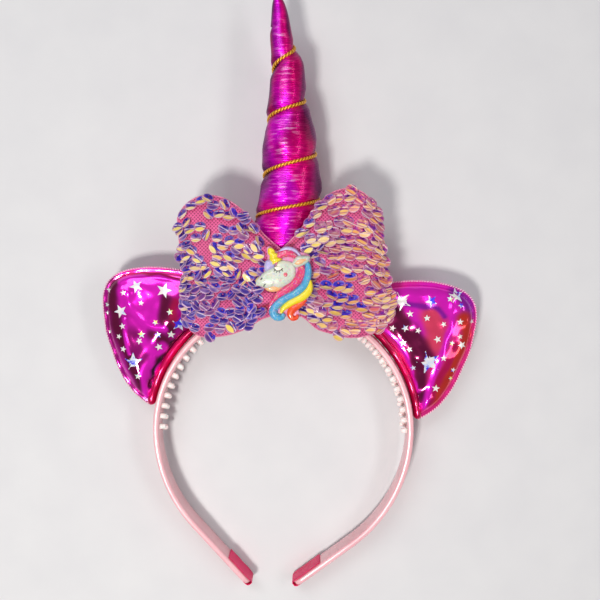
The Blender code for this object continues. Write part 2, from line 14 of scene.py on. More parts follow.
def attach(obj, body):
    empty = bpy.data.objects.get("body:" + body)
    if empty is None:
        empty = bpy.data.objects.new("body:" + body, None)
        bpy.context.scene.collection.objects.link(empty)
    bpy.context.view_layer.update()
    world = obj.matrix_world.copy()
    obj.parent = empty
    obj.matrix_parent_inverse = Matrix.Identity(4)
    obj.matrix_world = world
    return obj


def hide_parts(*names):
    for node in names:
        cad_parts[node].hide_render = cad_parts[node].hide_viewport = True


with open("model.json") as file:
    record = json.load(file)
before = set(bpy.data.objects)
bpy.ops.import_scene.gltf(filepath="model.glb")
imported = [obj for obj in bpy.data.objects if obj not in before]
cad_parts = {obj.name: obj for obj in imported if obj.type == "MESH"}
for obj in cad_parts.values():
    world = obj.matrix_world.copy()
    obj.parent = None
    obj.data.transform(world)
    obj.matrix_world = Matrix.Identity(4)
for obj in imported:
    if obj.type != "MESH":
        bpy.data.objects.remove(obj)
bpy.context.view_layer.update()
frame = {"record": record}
bpy.context.scene.view_settings.view_transform = "Standard"

SIDES = {"left": -1.0, "right": 1.0}
MM = 0.001

# Band, as in the solids
ARCH_RADIUS = 0.0630
BAND_WIDTH = 0.0110
ARM_BEND_RADIUS = 0.0720
LEFT_ARM_BEND = math.radians(41.5)
LEFT_ARM_STRAIGHT = 0.0415
RIGHT_ARM_BEND = math.radians(53.0)
RIGHT_ARM_STRAIGHT = 0.0360
CROWN_FACET = 0.059664
FIT_GAP = 0.0003
PLASTIC_FACE = 0.0006
PLASTIC_WALL = 0.0027
PLASTIC_LIP = 0.00045
RIBBON_THICK = 0.0004
RIBBON_TURN_IN = 0.0150
TIP_ROUNDING = 0.0040
STATION_STEP = 0.0009
PLASTIC_TRIM = 0.0013
PLASTIC_SIDE_INSET = 0.0001
LIP_RUN_OUT = 0.0060
RIBBON_TRIM = 0.0020
RIBBON_SIDE_INSET = 0.0006
RIBBON_NARROWING = 0.0011
RIBBON_TAB_BLEND = 0.0060
RIBBON_TAB_SPARE = 0.0010
RIBBON_WAVE = 0.00012
TOOTH_PITCH = 0.0053
TOOTH_HEIGHT = 0.0030
TOOTH_LENGTH = 0.0026
TOOTH_WIDTH = 0.0023
TOOTH_ROW_SPACING = 0.0052
TOOTH_STAGGER = 0.0018
COMB_HALF_ANGLE = math.radians(94.0)
# Rings of a tooth: share of its height, share of its foot's size.
TOOTH_RINGS = ((-0.12, 1.06), (0.30, 1.00), (0.62, 0.93), (0.86, 0.80), (0.97, 0.52), (1.0, 0.14))

# Ears
EAR_SEAT = ARCH_RADIUS + FIT_GAP
EAR_HEIGHT = 0.0472
EAR_THICKNESS = 0.0130
EAR_BASE_ANGLE = math.radians(60.6)
EAR_FOOT = {"left": math.radians(10.2), "right": math.radians(4.2)}
EAR_FLANGE = 0.0024
EAR_FLANGE_THICKNESS = 0.0018
EAR_PUFF = 0.0110
EAR_HEM = 0.0042
EAR_HEM_THICKNESS = 0.0066
HEM_END_INSET, HEM_END_TAPER = 0.004, 0.04
HEM_SWELL, HEM_SWELL_SPAN, HEM_TONE_SPAN = 0.05, 0.012, 0.009
HEM_TONES = ((0.86, 0.004, 0.13), (0.48, 0.001, 0.06))
EAR_MIDDLE_SHARE = 0.42
EAR_WAIST = 0.0014
EAR_LEAST_HALF = 0.0003
EAR_RIM_START, EAR_RIM_REACH = 0.965, 0.035
EAR_SLACK = 0.0006
EAR_DENT, EAR_DENT_SPAN = 0.00075, 0.026
EAR_SMALL_DENT, EAR_SMALL_DENT_SPAN = 0.00028, 0.011
EAR_PUCKER, EAR_PUCKER_SPAN, EAR_PUCKER_REACH = 0.00010, 0.0075, 0.004
EAR_SEAM_DEPTH, EAR_SEAM_WIDTH = 0.00016, 0.0005
COLOUR_WANDER, COLOUR_WANDER_SPAN = 0.0004, 0.009
STAR_NOTCH = 0.42
STAR_REACH = 0.54
STAR_LIFT = 0.00008
STAR_EDGE_GAP = 0.0004
STITCH_PITCH = 0.00125
STITCH_INSET = 0.0004
STITCH_HALF_SIZE = (0.00080, 0.00040, 0.00125)

# Horn
HORN_LENGTH = 0.1405
HORN_RADIUS = 0.0163
GROOVE_DEPTH = 0.0015
GROOVE_WIDTH = 0.0100
CORD_RADIUS = 0.00080
CORD_SUNK = 0.0007
CORD_FIRST_HALF_TURN = -0.30
CORD_LAST_HALF_TURN = 10.35
CORD_LAY = 0.0034
GROOVE_RUN_ON = 0.6
CORD_PINCH, CORD_PINCH_REACH = 0.00035, 0.0011
HORN_GATHER, HORN_GATHER_SPAN, HORN_GATHER_REACH = 0.00022, 0.0052, 0.0035
HORN_CREASE, HORN_CREASE_SPAN = 0.00030, 0.013
HORN_SLACK = 0.0001
HORN_SETTLE_SHARE = 0.22
HORN_ROW_CROWDING = 1.15
HORN_FOOT_RINGS = (0.12, 0.4, 0.7, 0.9)
HORN_FRONT_SPARE = 0.0005

# Bow
BOW_REACH = 0.0510
BOW_HEIGHT = 0.0700
BOW_ABOVE_ARCH = 0.0100
BOW_THICKNESS = 0.0052
BOW_EDGE = 0.0016
BOW_SEAM = 0.0060
BOW_LIFT = 0.0022
BOW_SHOULDER = 0.0300
BOW_INSET = 0.0012
BOW_MIDDLE = (0.0, ARCH_RADIUS + BOW_ABOVE_ARCH)
GATHER_DEPTH = 0.0011
GATHER_REACH = 0.0200
GATHER_START = 0.0040
FINE_GATHER_DEPTH = 0.0005
LONG_GATHER_DEPTH = 0.0004
BOW_SWELL, BOW_SWELL_SPAN = 0.0007, 0.034
BOW_SLACK = 0.0006
BOW_STEPS = 110
BOW_CREASE_DEPTH, BOW_CREASE_REACH = 0.0009, 0.022
BOW_RIM_RADIUS = 0.0008
BOW_ROLL_RADIUS = 0.00038
SEQUIN_RADIUS = 0.0029
SEQUIN_THICKNESS = 0.00012
SEQUIN_ROWS, SEQUIN_COLUMNS = 15, 10
SEQUIN_GRID_STEPS = 80
SEQUIN_JITTER = 0.20
SEQUIN_SPAN = (0.14, 0.955)
SEQUIN_STEP_ASIDE = 0.03
# Sequins of each wing: seed, share lost, spread of their turn, bend taken off, share of the size.
SEQUIN_LAYING = {"left": (8, 0.04, 0.50, 0.0, 1.0), "right": (9, 0.01, 0.20, 0.15, 1.07)}

# Charm
CHARM_WIDTH = 0.0260
CHARM_HEIGHT = 0.0330
CHARM_BACK = 0.0014
DOME_FOOT = 0.0004

# Free edge of an ear: share of its base angle, share of its height.
EAR_OUTLINE = (
    (0.000, 0.05), (0.053, 0.22), (0.120, 0.37), (0.190, 0.50), (0.252, 0.61),
    (0.312, 0.73), (0.371, 0.83), (0.427, 0.93), (0.477, 0.99), (0.526, 1.00),
    (0.582, 0.955), (0.670, 0.82), (0.784, 0.61), (0.880, 0.42), (0.960, 0.22),
    (1.000, 0.05),
)

# Horn: share of its length, share of its radius, lean as a share of its length.
HORN_PROFILE = (
    (0.000, 0.72, 0.004), (0.040, 0.84, 0.005), (0.090, 0.92, 0.007), (0.170, 1.02, 0.010),
    (0.230, 0.99, 0.013), (0.286, 0.96, 0.016), (0.340, 0.92, 0.024), (0.413, 0.86, 0.028),
    (0.466, 0.82, 0.027), (0.519, 0.79, 0.024), (0.572, 0.71, 0.023), (0.625, 0.63, 0.020),
    (0.677, 0.55, 0.017), (0.729, 0.52, 0.018), (0.780, 0.47, 0.016), (0.841, 0.36, 0.002),
    (0.921, 0.27, -0.006), (0.985, 0.155, -0.013), (1.000, 0.00, -0.014),
)

# Where the cord meets the horn's sides, half turn by half turn, in shares of the horn's length.
CORD_HALF_TURNS = (0.052, 0.127, 0.198, 0.279, 0.338, 0.416, 0.487, 0.600, 0.662, 0.763, 0.834)

# Edges of a wing: shares of the bow's reach outward, shares of its height upward.
WINGS = {
    "left": {
        "top": ((0.00, 0.211), (0.153, 0.307), (0.278, 0.416), (0.424, 0.513), (0.578, 0.567),
                (0.753, 0.567), (0.888, 0.510), (0.963, 0.424)),
        "bottom": ((0.00, -0.210), (0.175, -0.249), (0.331, -0.319), (0.488, -0.363),
                   (0.631, -0.380), (0.753, -0.381), (0.853, -0.341), (0.896, -0.274)),
        "side": ((0.896, -0.274), (0.912, -0.161), (0.918, -0.041), (0.908, 0.057),
                 (0.939, 0.216), (0.963, 0.424)),
    },
    "right": {
        "top": ((0.00, 0.211), (0.173, 0.344), (0.288, 0.473), (0.429, 0.577), (0.573, 0.617),
                (0.725, 0.599), (0.843, 0.514), (0.898, 0.437)),
        "bottom": ((0.00, -0.210), (0.190, -0.236), (0.324, -0.319), (0.488, -0.361),
                   (0.635, -0.386), (0.808, -0.367), (0.945, -0.301), (1.016, -0.181)),
        "side": ((1.016, -0.181), (1.024, -0.127), (0.976, -0.029), (0.937, 0.143),
                 (0.916, 0.247), (0.898, 0.437)),
    },
}

# Silver stars on each ear: millimetres out from the middle, up from the arch's centre, across.
STARS = {
    "left": ((69, 70, 6.1), (56, 68, 7.0), (77, 58, 6.3), (71, 34, 8.7), (49, 52, 6.6),
             (75, 67, 2.8), (83, 68, 3.1), (84, 61, 2.6), (84, 57, 2.2), (67, 62, 2.6),
             (60, 53, 2.8), (76, 51, 3.1), (78, 46, 2.6), (67, 47, 3.5), (68, 44, 3.1),
             (59, 47, 3.1), (53, 47, 3.7), (59, 41, 3.5), (53, 58, 3.1), (76, 40, 3.1),
             (61, 32, 3.5), (69, 27, 3.3), (62, 25, 2.2), (83, 48, 2.2), (53, 40, 2.2),
             (42, 66, 5.5), (45, 60, 2.8), (36, 60, 3.1)),
    "right": ((56, 63, 8.7), (70, 63, 5.7), (82, 65.5, 7.0), (69, 34, 10.9), (73, 45, 3.5),
              (85, 42, 3.9), (60, 73, 4.4), (74, 73, 3.1), (71, 71, 2.6), (79, 64, 3.1),
              (84, 61, 2.8), (68, 55, 3.1), (76, 52, 2.8), (64, 49, 2.8), (84, 53, 3.1),
              (58, 50, 3.5), (52, 50, 3.1), (60, 57, 3.3), (57, 43, 3.1), (60, 40, 2.8),
              (84, 46, 2.6), (80, 43, 2.6), (62, 31, 2.6), (76, 36, 3.1), (81, 30, 2.6),
              (80, 26, 2.2), (73, 21, 3.7), (66, 15, 2.6), (90, 53, 2.6), (91, 64, 2.6),
              (46, 63, 5.0), (42, 56, 2.8)),
}

# Loose sequins that stick out past the cloth: share of the wing outward, share upward.
STRAY_SEQUINS = {
    "left": ((1.02, 0.74), (0.97, 0.92), (0.64, 0.975), (0.35, 0.965), (0.98, 0.20), (0.60, 0.01),
             (0.25, 0.01)),
    "right": ((1.00, 0.74), (1.00, 0.44), (0.99, 0.28), (0.97, 0.58), (0.62, 0.985), (0.90, 0.94),
              (0.80, 0.01), (0.45, 0.01), (0.35, 0.97), (0.80, 0.97), (0.97, 0.14)),
}

# Ellipses on the bow where flakes bend sharply; those in the first are larger and deep blue.
BLUE_PATCH = (28, 64, 10.0, 11.5)
CHARM_PATCH = (18, 78, 7, 12)

# Thin places in the sequins: middle and reach in millimetres across and up, share left out there.
THIN_PATCHES = {
    "left": ((-33, 101, 3.4, 4.6, 0.55), (-33, 87, 3.6, 3.6, 0.45), (-40, 70, 3.5, 6, 0.4),
             (-38, 54, 5, 4, 0.7), (-12, 79, 3.5, 4, 0.6)),
    "right": ((18, 97, 5.5, 5.5, 0.7), (17, 81, 4, 8, 0.15), (28, 64, 10, 11.5, 0.35)),
}

# Colours of the ears' foil, and of the reflections and shade painted on it.
FOIL_SHADES = {
    "magenta": (1.00, 0.012, 0.70), "rose": (0.95, 0.030, 0.30), "crimson": (0.60, 0.004, 0.10),
    "maroon": (0.150, 0.001, 0.045), "dark_print_and_crease_shade": (0.030, 0.000, 0.015), "orange": (0.72, 0.040, 0.020),
    "violet": (0.36, 0.010, 0.46), "salmon": (1.00, 0.070, 0.17), "plum": (0.36, 0.002, 0.19),
    "hot": (1.00, 0.030, 0.42),
}

# Soft strokes of colour on the foil that paint its reflections and shade, put on in this order:
# shade, half width and crease height in millimetres, then points out from the middle and up from the
# arch's centre.
PAINTED_REFLECTION_STROKES = {
    "left": (
        ("magenta", 11.0, 0.0, ((72, 66), (62, 66), (58, 58), (66, 48), (66, 34))),
        ("plum", 5.5, 0.0, ((71, 46), (68, 40), (69, 33))),
        ("maroon", 3.0, 0.0, ((80, 71), (81, 65), (80, 56), (78, 48), (75, 40), (71, 31), (67, 21))),
        ("crimson", 3.0, 0.0, ((51, 62), (52, 59), (52, 54))),
        ("maroon", 3.0, 0.0, ((55, 64), (56, 56), (53, 50))),
        ("maroon", 3.6, 0.0, ((61, 47), (56, 43), (60, 36))),
        ("magenta", 1.5, 0.55, ((72, 67), (73, 62), (70, 57), (66, 53), (62, 51), (56, 50))),
        ("magenta", 1.0, 0.45, ((75, 54), (75, 47), (74, 42), (73, 38))),
        ("magenta", 2.2, 0.25, ((67, 44), (63, 40), (59, 38), (57, 41))),
        ("magenta", 1.6, 0.50, ((62, 36), (66, 30), (66.5, 23), (66, 17))),
        ("hot", 1.6, 0.25, ((79, 75), (73, 77), (65, 77.5), (58, 77), (48, 75))),
        ("crimson", 0.6, -0.30, ((78, 74), (73, 75.4), (65, 75.8), (58, 75.4), (48, 73.4))),
        ("magenta", 0.9, 0.30, ((77, 72), (73, 73.6), (66, 74.2), (58, 74), (48, 72))),
        # A dark line along a groove in the foil: painted shade in the crease.
        ("dark_print_and_crease_shade", 0.9, -0.30, ((47, 47), (51, 44), (56, 38), (60, 33), (63, 27), (64.5, 21))),
    ),
    "right": (
        ("rose", 40.0, 0.0, ((70, 60), (70, 30))),
        ("magenta", 6.5, 0.0, ((55, 68), (65, 68), (75, 66), (79, 60))),
        ("violet", 3.6, 0.0, ((82, 67), (87, 62), (88, 56))),
        ("hot", 3.0, 0.20, ((48, 70), (60, 73), (69, 74.5), (77, 73.5), (85, 71))),
        ("magenta", 6.0, 0.0, ((60, 62), (64, 54), (69, 46))),
        ("salmon", 5.2, 0.0, ((69, 56), (72, 50), (71, 43))),
        ("orange", 3.4, 0.0, ((86, 55), (87, 46), (82, 35), (78, 26), (72, 16))),
        ("crimson", 1.8, 0.0, ((82, 42), (77, 31), (73, 22), (70, 14))),
        ("maroon", 3.4, 0.0, ((54, 58), (59, 51), (65, 43), (69, 36))),
        ("maroon", 3.2, 0.0, ((53, 51), (59, 44), (63, 36), (66, 26), (66.5, 16))),
        ("violet", 1.5, 0.35, ((58, 62), (64, 61), (72, 60), (76, 56))),
        ("magenta", 1.6, 0.55, ((80, 64), (80, 54), (77, 43), (73, 31), (70, 21), (67.5, 12))),
        ("magenta", 0.9, 0.35, ((47, 49.5), (53, 44.5), (58, 37.5), (61.5, 29), (64.5, 19))),
    ),
}


# Arrays, meshes and placing

seat_mount = frame["record"]["mounts"][0]
REST_TURN = math.asin(-seat_mount["axis"][2])
REST_PLACE = (np.array(seat_mount["pos_m"])
              - CROWN_FACET * np.array((0.0, math.cos(REST_TURN), math.sin(REST_TURN))))


def to_row(points):
    """Turn band-frame points about x by the resting angle and move them to their place."""
    x, y, z = points[..., 0], points[..., 1], points[..., 2]
    c, s = math.cos(REST_TURN), math.sin(REST_TURN)
    return np.stack((x, y * c - z * s, y * s + z * c), -1) + REST_PLACE


def clamp(values):
    """Hold values between 0 and 1."""
    return np.clip(values, 0.0, 1.0)


def unit(vectors):
    """Scale vectors to length 1."""
    return vectors / np.linalg.norm(vectors, axis=-1, keepdims=True)


def heading(angle):
    """Directions in the band's plane, at angles from x towards y."""
    return np.stack((np.cos(angle), np.sin(angle)), -1)


def full_turn(count):
    """Even angles round a circle, without the one that would repeat the first."""
    return np.linspace(0.0, 2 * math.pi, count, endpoint=False)


def left_of(directions):
    """Directions in the band's plane, turned a quarter turn to the left."""
    return np.stack((-directions[..., 1], directions[..., 0]), -1)


def fade(distance, reach):
    """Bell of height 1: exp(-(distance / reach) ** 2)."""
    return np.exp(-(distance / reach) ** 2)


def quarter_round(share, least=0.0):
    """Quarter circle that falls from 1 as the share goes from 0 to 1, held above a least height."""
    return np.sqrt(np.clip(1 - clamp(share) ** 2, least, 1.0))


def with_z(flat, z):
    """Add heights to points in the band's plane."""
    return np.concatenate((flat, np.broadcast_to(z, flat.shape[:-1])[..., None]), -1)


def length_along(line):
    """Length from a line's start to each of its points."""
    return np.concatenate(([0.0], np.cumsum(np.linalg.norm(np.diff(line, axis=0), axis=1))))


def at_length(wanted, line):
    """Points of a line at given lengths along it."""
    length = length_along(line)
    return np.stack([np.interp(wanted, length, column) for column in line.T], 1)


def smooth_line(points, count):
    """Catmull-Rom curve through the points, read at count even steps."""
    knots = np.asarray(points, float)
    padded = np.vstack((2 * knots[0] - knots[1], knots, 2 * knots[-1] - knots[-2]))
    place = np.linspace(0.0, len(knots) - 1.0, count)
    first = np.minimum(place.astype(int), len(knots) - 2)
    t = (place - first)[:, None]
    a, b, c, d = (padded[first + k] for k in range(4))
    return 0.5 * (2 * b + (c - a) * t + (2 * a - 5 * b + 4 * c - d) * t ** 2
                  + (3 * b - a - 3 * c + d) * t ** 3)


def ripple(points, wavelength, seed, waves=14):
    """Smooth noise of about -1 to 1: a sum of sines with seeded directions and phases."""
    rng = np.random.default_rng(seed)
    total = np.zeros(points.shape[:-1])
    for _ in range(waves):
        direction = rng.normal(size=points.shape[-1])
        direction *= rng.uniform(0.7, 1.4) / np.linalg.norm(direction)
        phase = rng.uniform(0.0, 2 * math.pi)
        total += np.sin(2 * math.pi * (points @ direction) / wavelength + phase)
    return total / math.sqrt(waves)


def distance_to(points, line):
    """Shortest distance from each point to a chain of straight pieces."""
    shape = points.shape[:-1]
    flat = points.reshape(-1, 2)
    start, run = line[:-1], line[1:] - line[:-1]
    best = np.full(len(flat), np.inf)
    for a, b in zip(start, run):
        along = clamp(((flat - a) @ b) / max(b @ b, 1e-18))[:, None]
        best = np.minimum(best, np.linalg.norm(flat - a - along * b, axis=1))
    return best.reshape(shape)


def within(points, outline):
    """True where a line drawn to the right crosses the closed outline an odd number of times."""
    x, y = points[:, :1], points[:, 1:]
    a, b = outline, np.roll(outline, -1, axis=0)
    crossed = (a[:, 1] > y) != (b[:, 1] > y)
    rise = b[:, 1] - a[:, 1]
    meets = a[:, 0] + (y - a[:, 1]) * (b[:, 0] - a[:, 0]) / np.where(rise == 0, 1.0, rise)
    return (crossed & (x < meets)).sum(1) % 2 == 1


def grid_quads(rows, columns, wrap):
    """Corner numbers of the quads of a grid; wrap joins the last column to the first."""
    i = np.arange(rows - 1)[:, None]
    j = np.arange(columns if wrap else columns - 1)[None]
    n = (j + 1) % columns
    return np.stack((i * columns + j, i * columns + n, (i + 1) * columns + n,
                     (i + 1) * columns + j), -1).reshape(-1, 4)


def make_piece(name, points, faces, material, values=None, uv=None):
    """Put a mesh of band-frame points into the scene and let it ride on the frame."""
    placed = to_row(np.asarray(points, float).reshape(-1, 3))
    mesh = bpy.data.meshes.new(name)
    mesh.from_pydata(placed.tolist(), [], [list(face) for face in faces])
    mesh.update()
    for key, value in (values or {}).items():
        value = np.asarray(value, np.float32)
        kind, field = "FLOAT", "value"
        if value.ndim > 1 and value.shape[-1] == 3:
            kind, field = "FLOAT_COLOR", "color"
            value = np.concatenate((value, np.ones_like(value[..., :1])), -1)
        mesh.attributes.new(key, kind, "POINT").data.foreach_set(field, value.ravel())
    if uv is not None:
        corners = np.empty(len(mesh.loops), dtype=np.int32)
        mesh.loops.foreach_get("vertex_index", corners)
        layer = mesh.uv_layers.new(name="UVMap")
        layer.data.foreach_set("uv", np.asarray(uv, np.float32).reshape(-1, 2)[corners].ravel())
    mesh.shade_smooth()
    mesh.materials.append(material)
    piece = bpy.data.objects.new(name, mesh)
    bpy.context.scene.collection.objects.link(piece)
    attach(piece, "root")
    return piece


def facing_out(points, faces):
    """Reverse the faces of a closed shell if the volume they enclose comes out negative."""
    flat = np.asarray(points).reshape(-1, 3)
    volume = 0.0
    for size in (3, 4):
        group = np.array([face for face in faces if len(face) == size])
        if not len(group):
            continue
        a = flat[group[:, 0]]
        for k in range(1, size - 1):
            volume += (a * np.cross(flat[group[:, k]], flat[group[:, k + 1]])).sum()
    return faces if volume > 0 else [face[::-1] for face in faces]


def closed_tube(points):
    """Faces of a tube of loops (rows, around, 3), closed by a fan to a new point at each end."""
    rows, around = points.shape[:2]
    flat = points.reshape(-1, 3)
    start, end = points[0].mean(0), points[-1].mean(0)
    flat = np.vstack((flat, start, end))
    faces = grid_quads(rows, around, True).tolist()
    first, last = rows * around, rows * around + 1
    base = (rows - 1) * around
    for k in range(around):
        n = (k + 1) % around
        faces.append([k, first, n])
        faces.append([base + k, base + n, last])
    return flat, facing_out(flat, faces)


def with_ends(values):
    """Repeat the first and last rows' mean for the two points that closed_tube adds."""
    values = np.asarray(values, float)
    tail = values.shape[2:]
    flat = values.reshape(-1, *tail)
    return np.concatenate((flat, values[0].mean(0)[None], values[-1].mean(0)[None]))


def tube_piece(name, points, material, values=None, uv=None):
    """Make a piece of a closed tube; values and uv are given for its loops."""
    shape, faces = closed_tube(points)
    values = {key: with_ends(value) for key, value in (values or {}).items()}
    return make_piece(name, shape, faces, material, values,
                      None if uv is None else with_ends(uv))


def copies(shape, faces, axes, places):
    """One mesh of many copies: each is shape times its three axes, moved to its place."""
    points = np.einsum("kc,ncd->nkd", shape, axes) + places[:, None]
    joined = [[corner + len(shape) * n for corner in face]
              for n in range(len(places)) for face in faces]
    return points.reshape(-1, 3), joined


def tube_along(path, radius, around, lobes=0, lobe_depth=0.0, twist=0.0, flat=1.0):
    """Sweep a round or lobed section: r = radius * (1 + depth * cos(lobes * (phi - twist * s)))."""
    tangent = unit(np.gradient(path, axis=0))
    up = np.array((0.0, 0.0, 1.0)) - tangent * tangent[:, 2:3]
    weak = np.linalg.norm(up, axis=1) < 0.2
    up[weak] = np.array((0.0, 1.0, 0.0)) - tangent[weak] * tangent[weak, 1:2]
    up = unit(up)
    side = np.cross(tangent, up)
    phi = full_turn(around)
    grow = 1 + lobe_depth * np.cos(lobes * (phi - twist * length_along(path)[:, None]))
    reach = np.broadcast_to(radius, (len(path),))[:, None] * grow
    return (path[:, None] + (reach * np.cos(phi))[..., None] * side[:, None]
            + (flat * reach * np.sin(phi))[..., None] * up[:, None])


# Finishes

BLACK, WHITE = (0.0, 0.0, 0.0), (1.0, 1.0, 1.0)


class Finish:
    """A new material, with a short call for each kind of node; inputs are values or sockets."""

    def __init__(self, name, sockets):
        self.material = bpy.data.materials.new(name)
        self.material.use_nodes = True
        self.tree = self.material.node_tree
        self.shader = self.tree.nodes["Principled BSDF"]
        for key, value in sockets.items():
            self.shader.inputs[key].default_value = value

    def put(self, socket, value):
        if isinstance(value, bpy.types.NodeSocket):
            self.tree.links.new(value, socket)
        else:
            socket.default_value = value

    def add(self, kind, inputs=None, **settings):
        node = self.tree.nodes.new("ShaderNode" + kind)
        for key, value in settings.items():
            setattr(node, key, value)
        for key, value in (inputs or {}).items():
            self.put(node.inputs[key], value)
        return node

    def feed(self, key, value):
        self.put(self.shader.inputs[key], value)

    def spread(self, key, value, low, high):
        """Feed a shader input with a value stretched from 0 to 1 over low to high."""
        self.feed(key, self.add("MapRange", {"Value": value, 3: low, 4: high}).outputs[0])

    def ramp(self, factor, *stops):
        node = self.add("ValToRGB", {"Fac": factor})
        while len(node.color_ramp.elements) < len(stops):
            node.color_ramp.elements.new(0.5)
        for element, (place, colour) in zip(node.color_ramp.elements, stops):
            element.position = place
            element.color = (*colour, 1.0)
        return node.outputs["Color"]

    def tones(self, factor, dark, light):
        return self.ramp(factor, (0.3, dark), (0.7, light))

    def step(self, factor, low, high):
        return self.ramp(factor, (low, BLACK), (high, WHITE))

    def noise(self, vector, scale, detail=2.0):
        inputs = {"Vector": vector, "Scale": scale, "Detail": detail}
        return self.add("TexNoise", inputs).outputs["Fac"]

    def wave(self, vector, direction, **inputs):
        inputs = {key.replace("_", " "): value for key, value in inputs.items()}
        return self.add("TexWave", {"Vector": vector, **inputs},
                        bands_direction=direction).outputs["Fac"]

    def mapped(self, vector, scale, degrees=0.0):
        inputs = {"Vector": vector, "Scale": scale, "Rotation": (0.0, 0.0, math.radians(degrees))}
        return self.add("Mapping", inputs).outputs["Vector"]

    def mix(self, factor, a, b, blend="MIX"):
        node = self.add("Mix", data_type="RGBA", blend_type=blend)
        for key, value in (("Factor", factor), ("A", a), ("B", b)):
            socket = next(s for s in node.inputs if s.name == key and s.enabled)
            self.put(socket, (*value, 1.0) if isinstance(value, tuple) else value)
        return next(s for s in node.outputs if s.enabled)

    def shade(self, share, colour, factor, *stops):
        """Darken a colour by a ramp."""
        return self.mix(share, colour, self.ramp(factor, *stops), "MULTIPLY")

    def maths(self, operation, a, b=0.0):
        return self.add("Math", {0: a, 1: b}, operation=operation).outputs[0]

    def times(self, a, b):
        return self.maths("MULTIPLY", a, b)

    def plus(self, a, b):
        return self.maths("ADD", a, b)

    def minus(self, a, b):
        return self.maths("SUBTRACT", a, b)

    def value(self, name, output="Fac"):
        return self.add("Attribute", attribute_name=name).outputs[output]

    def place(self, kind="Object"):
        return self.add("TexCoord").outputs[kind]

    def bump(self, *layers):
        """Chain bumps; each layer is a height, its size in metres and a strength."""
        inputs = {}
        for height, size, strength in layers:
            inputs.update(Height=height, Distance=size, Strength=strength)
            inputs["Normal"] = self.add("Bump", inputs).outputs["Normal"]
        self.feed("Normal", inputs["Normal"])


def plastic_finish():
    """Pale pink moulded plastic: a little light goes through, faint flow marks and scuffs."""
    n = Finish("pale pink plastic", {
        "IOR": 1.49, "Subsurface Weight": 0.2, "Subsurface Radius": (1.0, 0.45, 0.5),
        "Subsurface Scale": 0.002, "Coat Weight": 0.45, "Coat Roughness": 0.16})
    place = n.place()
    n.feed("Base Color", n.tones(n.noise(place, 60.0, 3.0), (0.82, 0.42, 0.46),
                                 (0.91, 0.53, 0.56)))
    n.spread("Roughness", n.noise(n.mapped(place, (1.0, 1.0, 6.0)), 900.0, 3.0), 0.20, 0.42)
    n.bump((n.noise(place, 350.0), 0.0002, 0.15))
    return n.material


def teeth_finish():
    """Milky pink plastic, more see-through than the band."""
    n = Finish("milky comb teeth", {
        "IOR": 1.49, "Subsurface Weight": 0.6, "Subsurface Radius": (1.0, 0.6, 0.65),
        "Subsurface Scale": 0.002, "Roughness": 0.22})
    n.feed("Base Color", n.tones(n.noise(n.place(), 500.0), (0.95, 0.76, 0.73),
                                 (0.98, 0.87, 0.83)))
    return n.material


def satin_finish():
    """Hot pink satin ribbon with fine cross ribs, a soft sheen and a faint painted sheen on the ribs.
    """
    n = Finish("hot pink satin", {
        "Sheen Weight": 0.06, "Sheen Roughness": 0.35, "Sheen Tint": (1.0, 0.3, 0.4, 1.0),
        "Specular IOR Level": 0.3, "Anisotropic": 0.5})
    ribs = n.wave(n.place("UV"), "X", Scale=700.0, Distortion=0.6, Detail=1.0)
    cloud = n.noise(n.place(), 180.0, 3.0)
    colour = n.tones(cloud, (0.78, 0.008, 0.100), (0.95, 0.018, 0.155))
    # Painted sheen along the fine ribs.
    painted_rib_sheen = n.ramp(ribs, (0.0, (0.3, 0.0, 0.05)), (1.0, (0.95, 0.1, 0.35)))
    n.feed("Base Color", n.mix(0.15, colour, painted_rib_sheen))
    n.spread("Roughness", ribs, 0.32, 0.52)
    n.bump((ribs, 0.00008, 0.35), (cloud, 0.0003, 0.15))
    return n.material


def foil_finish():
    """Mirror-like foil cloth: half metal, in its own colours with painted reflections and shade, and
    soft creases.
    """
    n = Finish("magenta foil", {
        "Metallic": 0.50, "Coat Weight": 0.65, "Coat Roughness": 0.05, "Coat IOR": 1.5,
        "Specular Tint": (1.0, 0.45, 0.9, 1.0)})
    place = n.place()
    n.feed("Base Color", n.shade(0.5, n.value("foil_tone_and_painted_reflections", "Color"), n.noise(place, 120.0),
                                 (0.3, (0.80, 0.70, 0.78)), (0.6, WHITE)))
    n.spread("Roughness", n.noise(place, 420.0), 0.12, 0.24)
    n.bump((n.noise(place, 80.0, 1.0), 0.0010, 0.22), (n.noise(place, 600.0), 0.00008, 0.15))
    return n.material


def star_finish():
    """Silver foil stars that flash a little blue, yellow and green, and glow faintly: painted light,
    as they are no lamp.
    """
    n = Finish("silver stars", {"Metallic": 0.35, "Roughness": 0.24, "Emission Strength": 0.12})
    flash = n.plus(n.times(n.noise(n.place(), 330.0), 0.75), n.times(n.value("tint"), 0.40))
    colour = n.ramp(flash, (0.34, (0.06, 0.04, 0.85)), (0.40, (0.70, 0.80, 0.95)),
                    (0.52, (0.88, 0.86, 0.88)), (0.64, (0.95, 0.88, 0.78)),
                    (0.72, (0.60, 0.90, 0.92)), (0.80, (0.95, 0.85, 0.20)))
    n.feed("Base Color", colour)
    # Emission in the stars' own colour: a painted glow.
    n.feed("Emission Color", colour)
    return n.material


def thread_finish(name, dark, light):
    """Matt thread, a little lighter in places."""
    n = Finish(name, {"Sheen Weight": 0.3})
    cloud = n.noise(n.place(), 900.0)
    n.feed("Base Color", n.tones(cloud, dark, light))
    n.spread("Roughness", cloud, 0.45, 0.7)
    return n.material


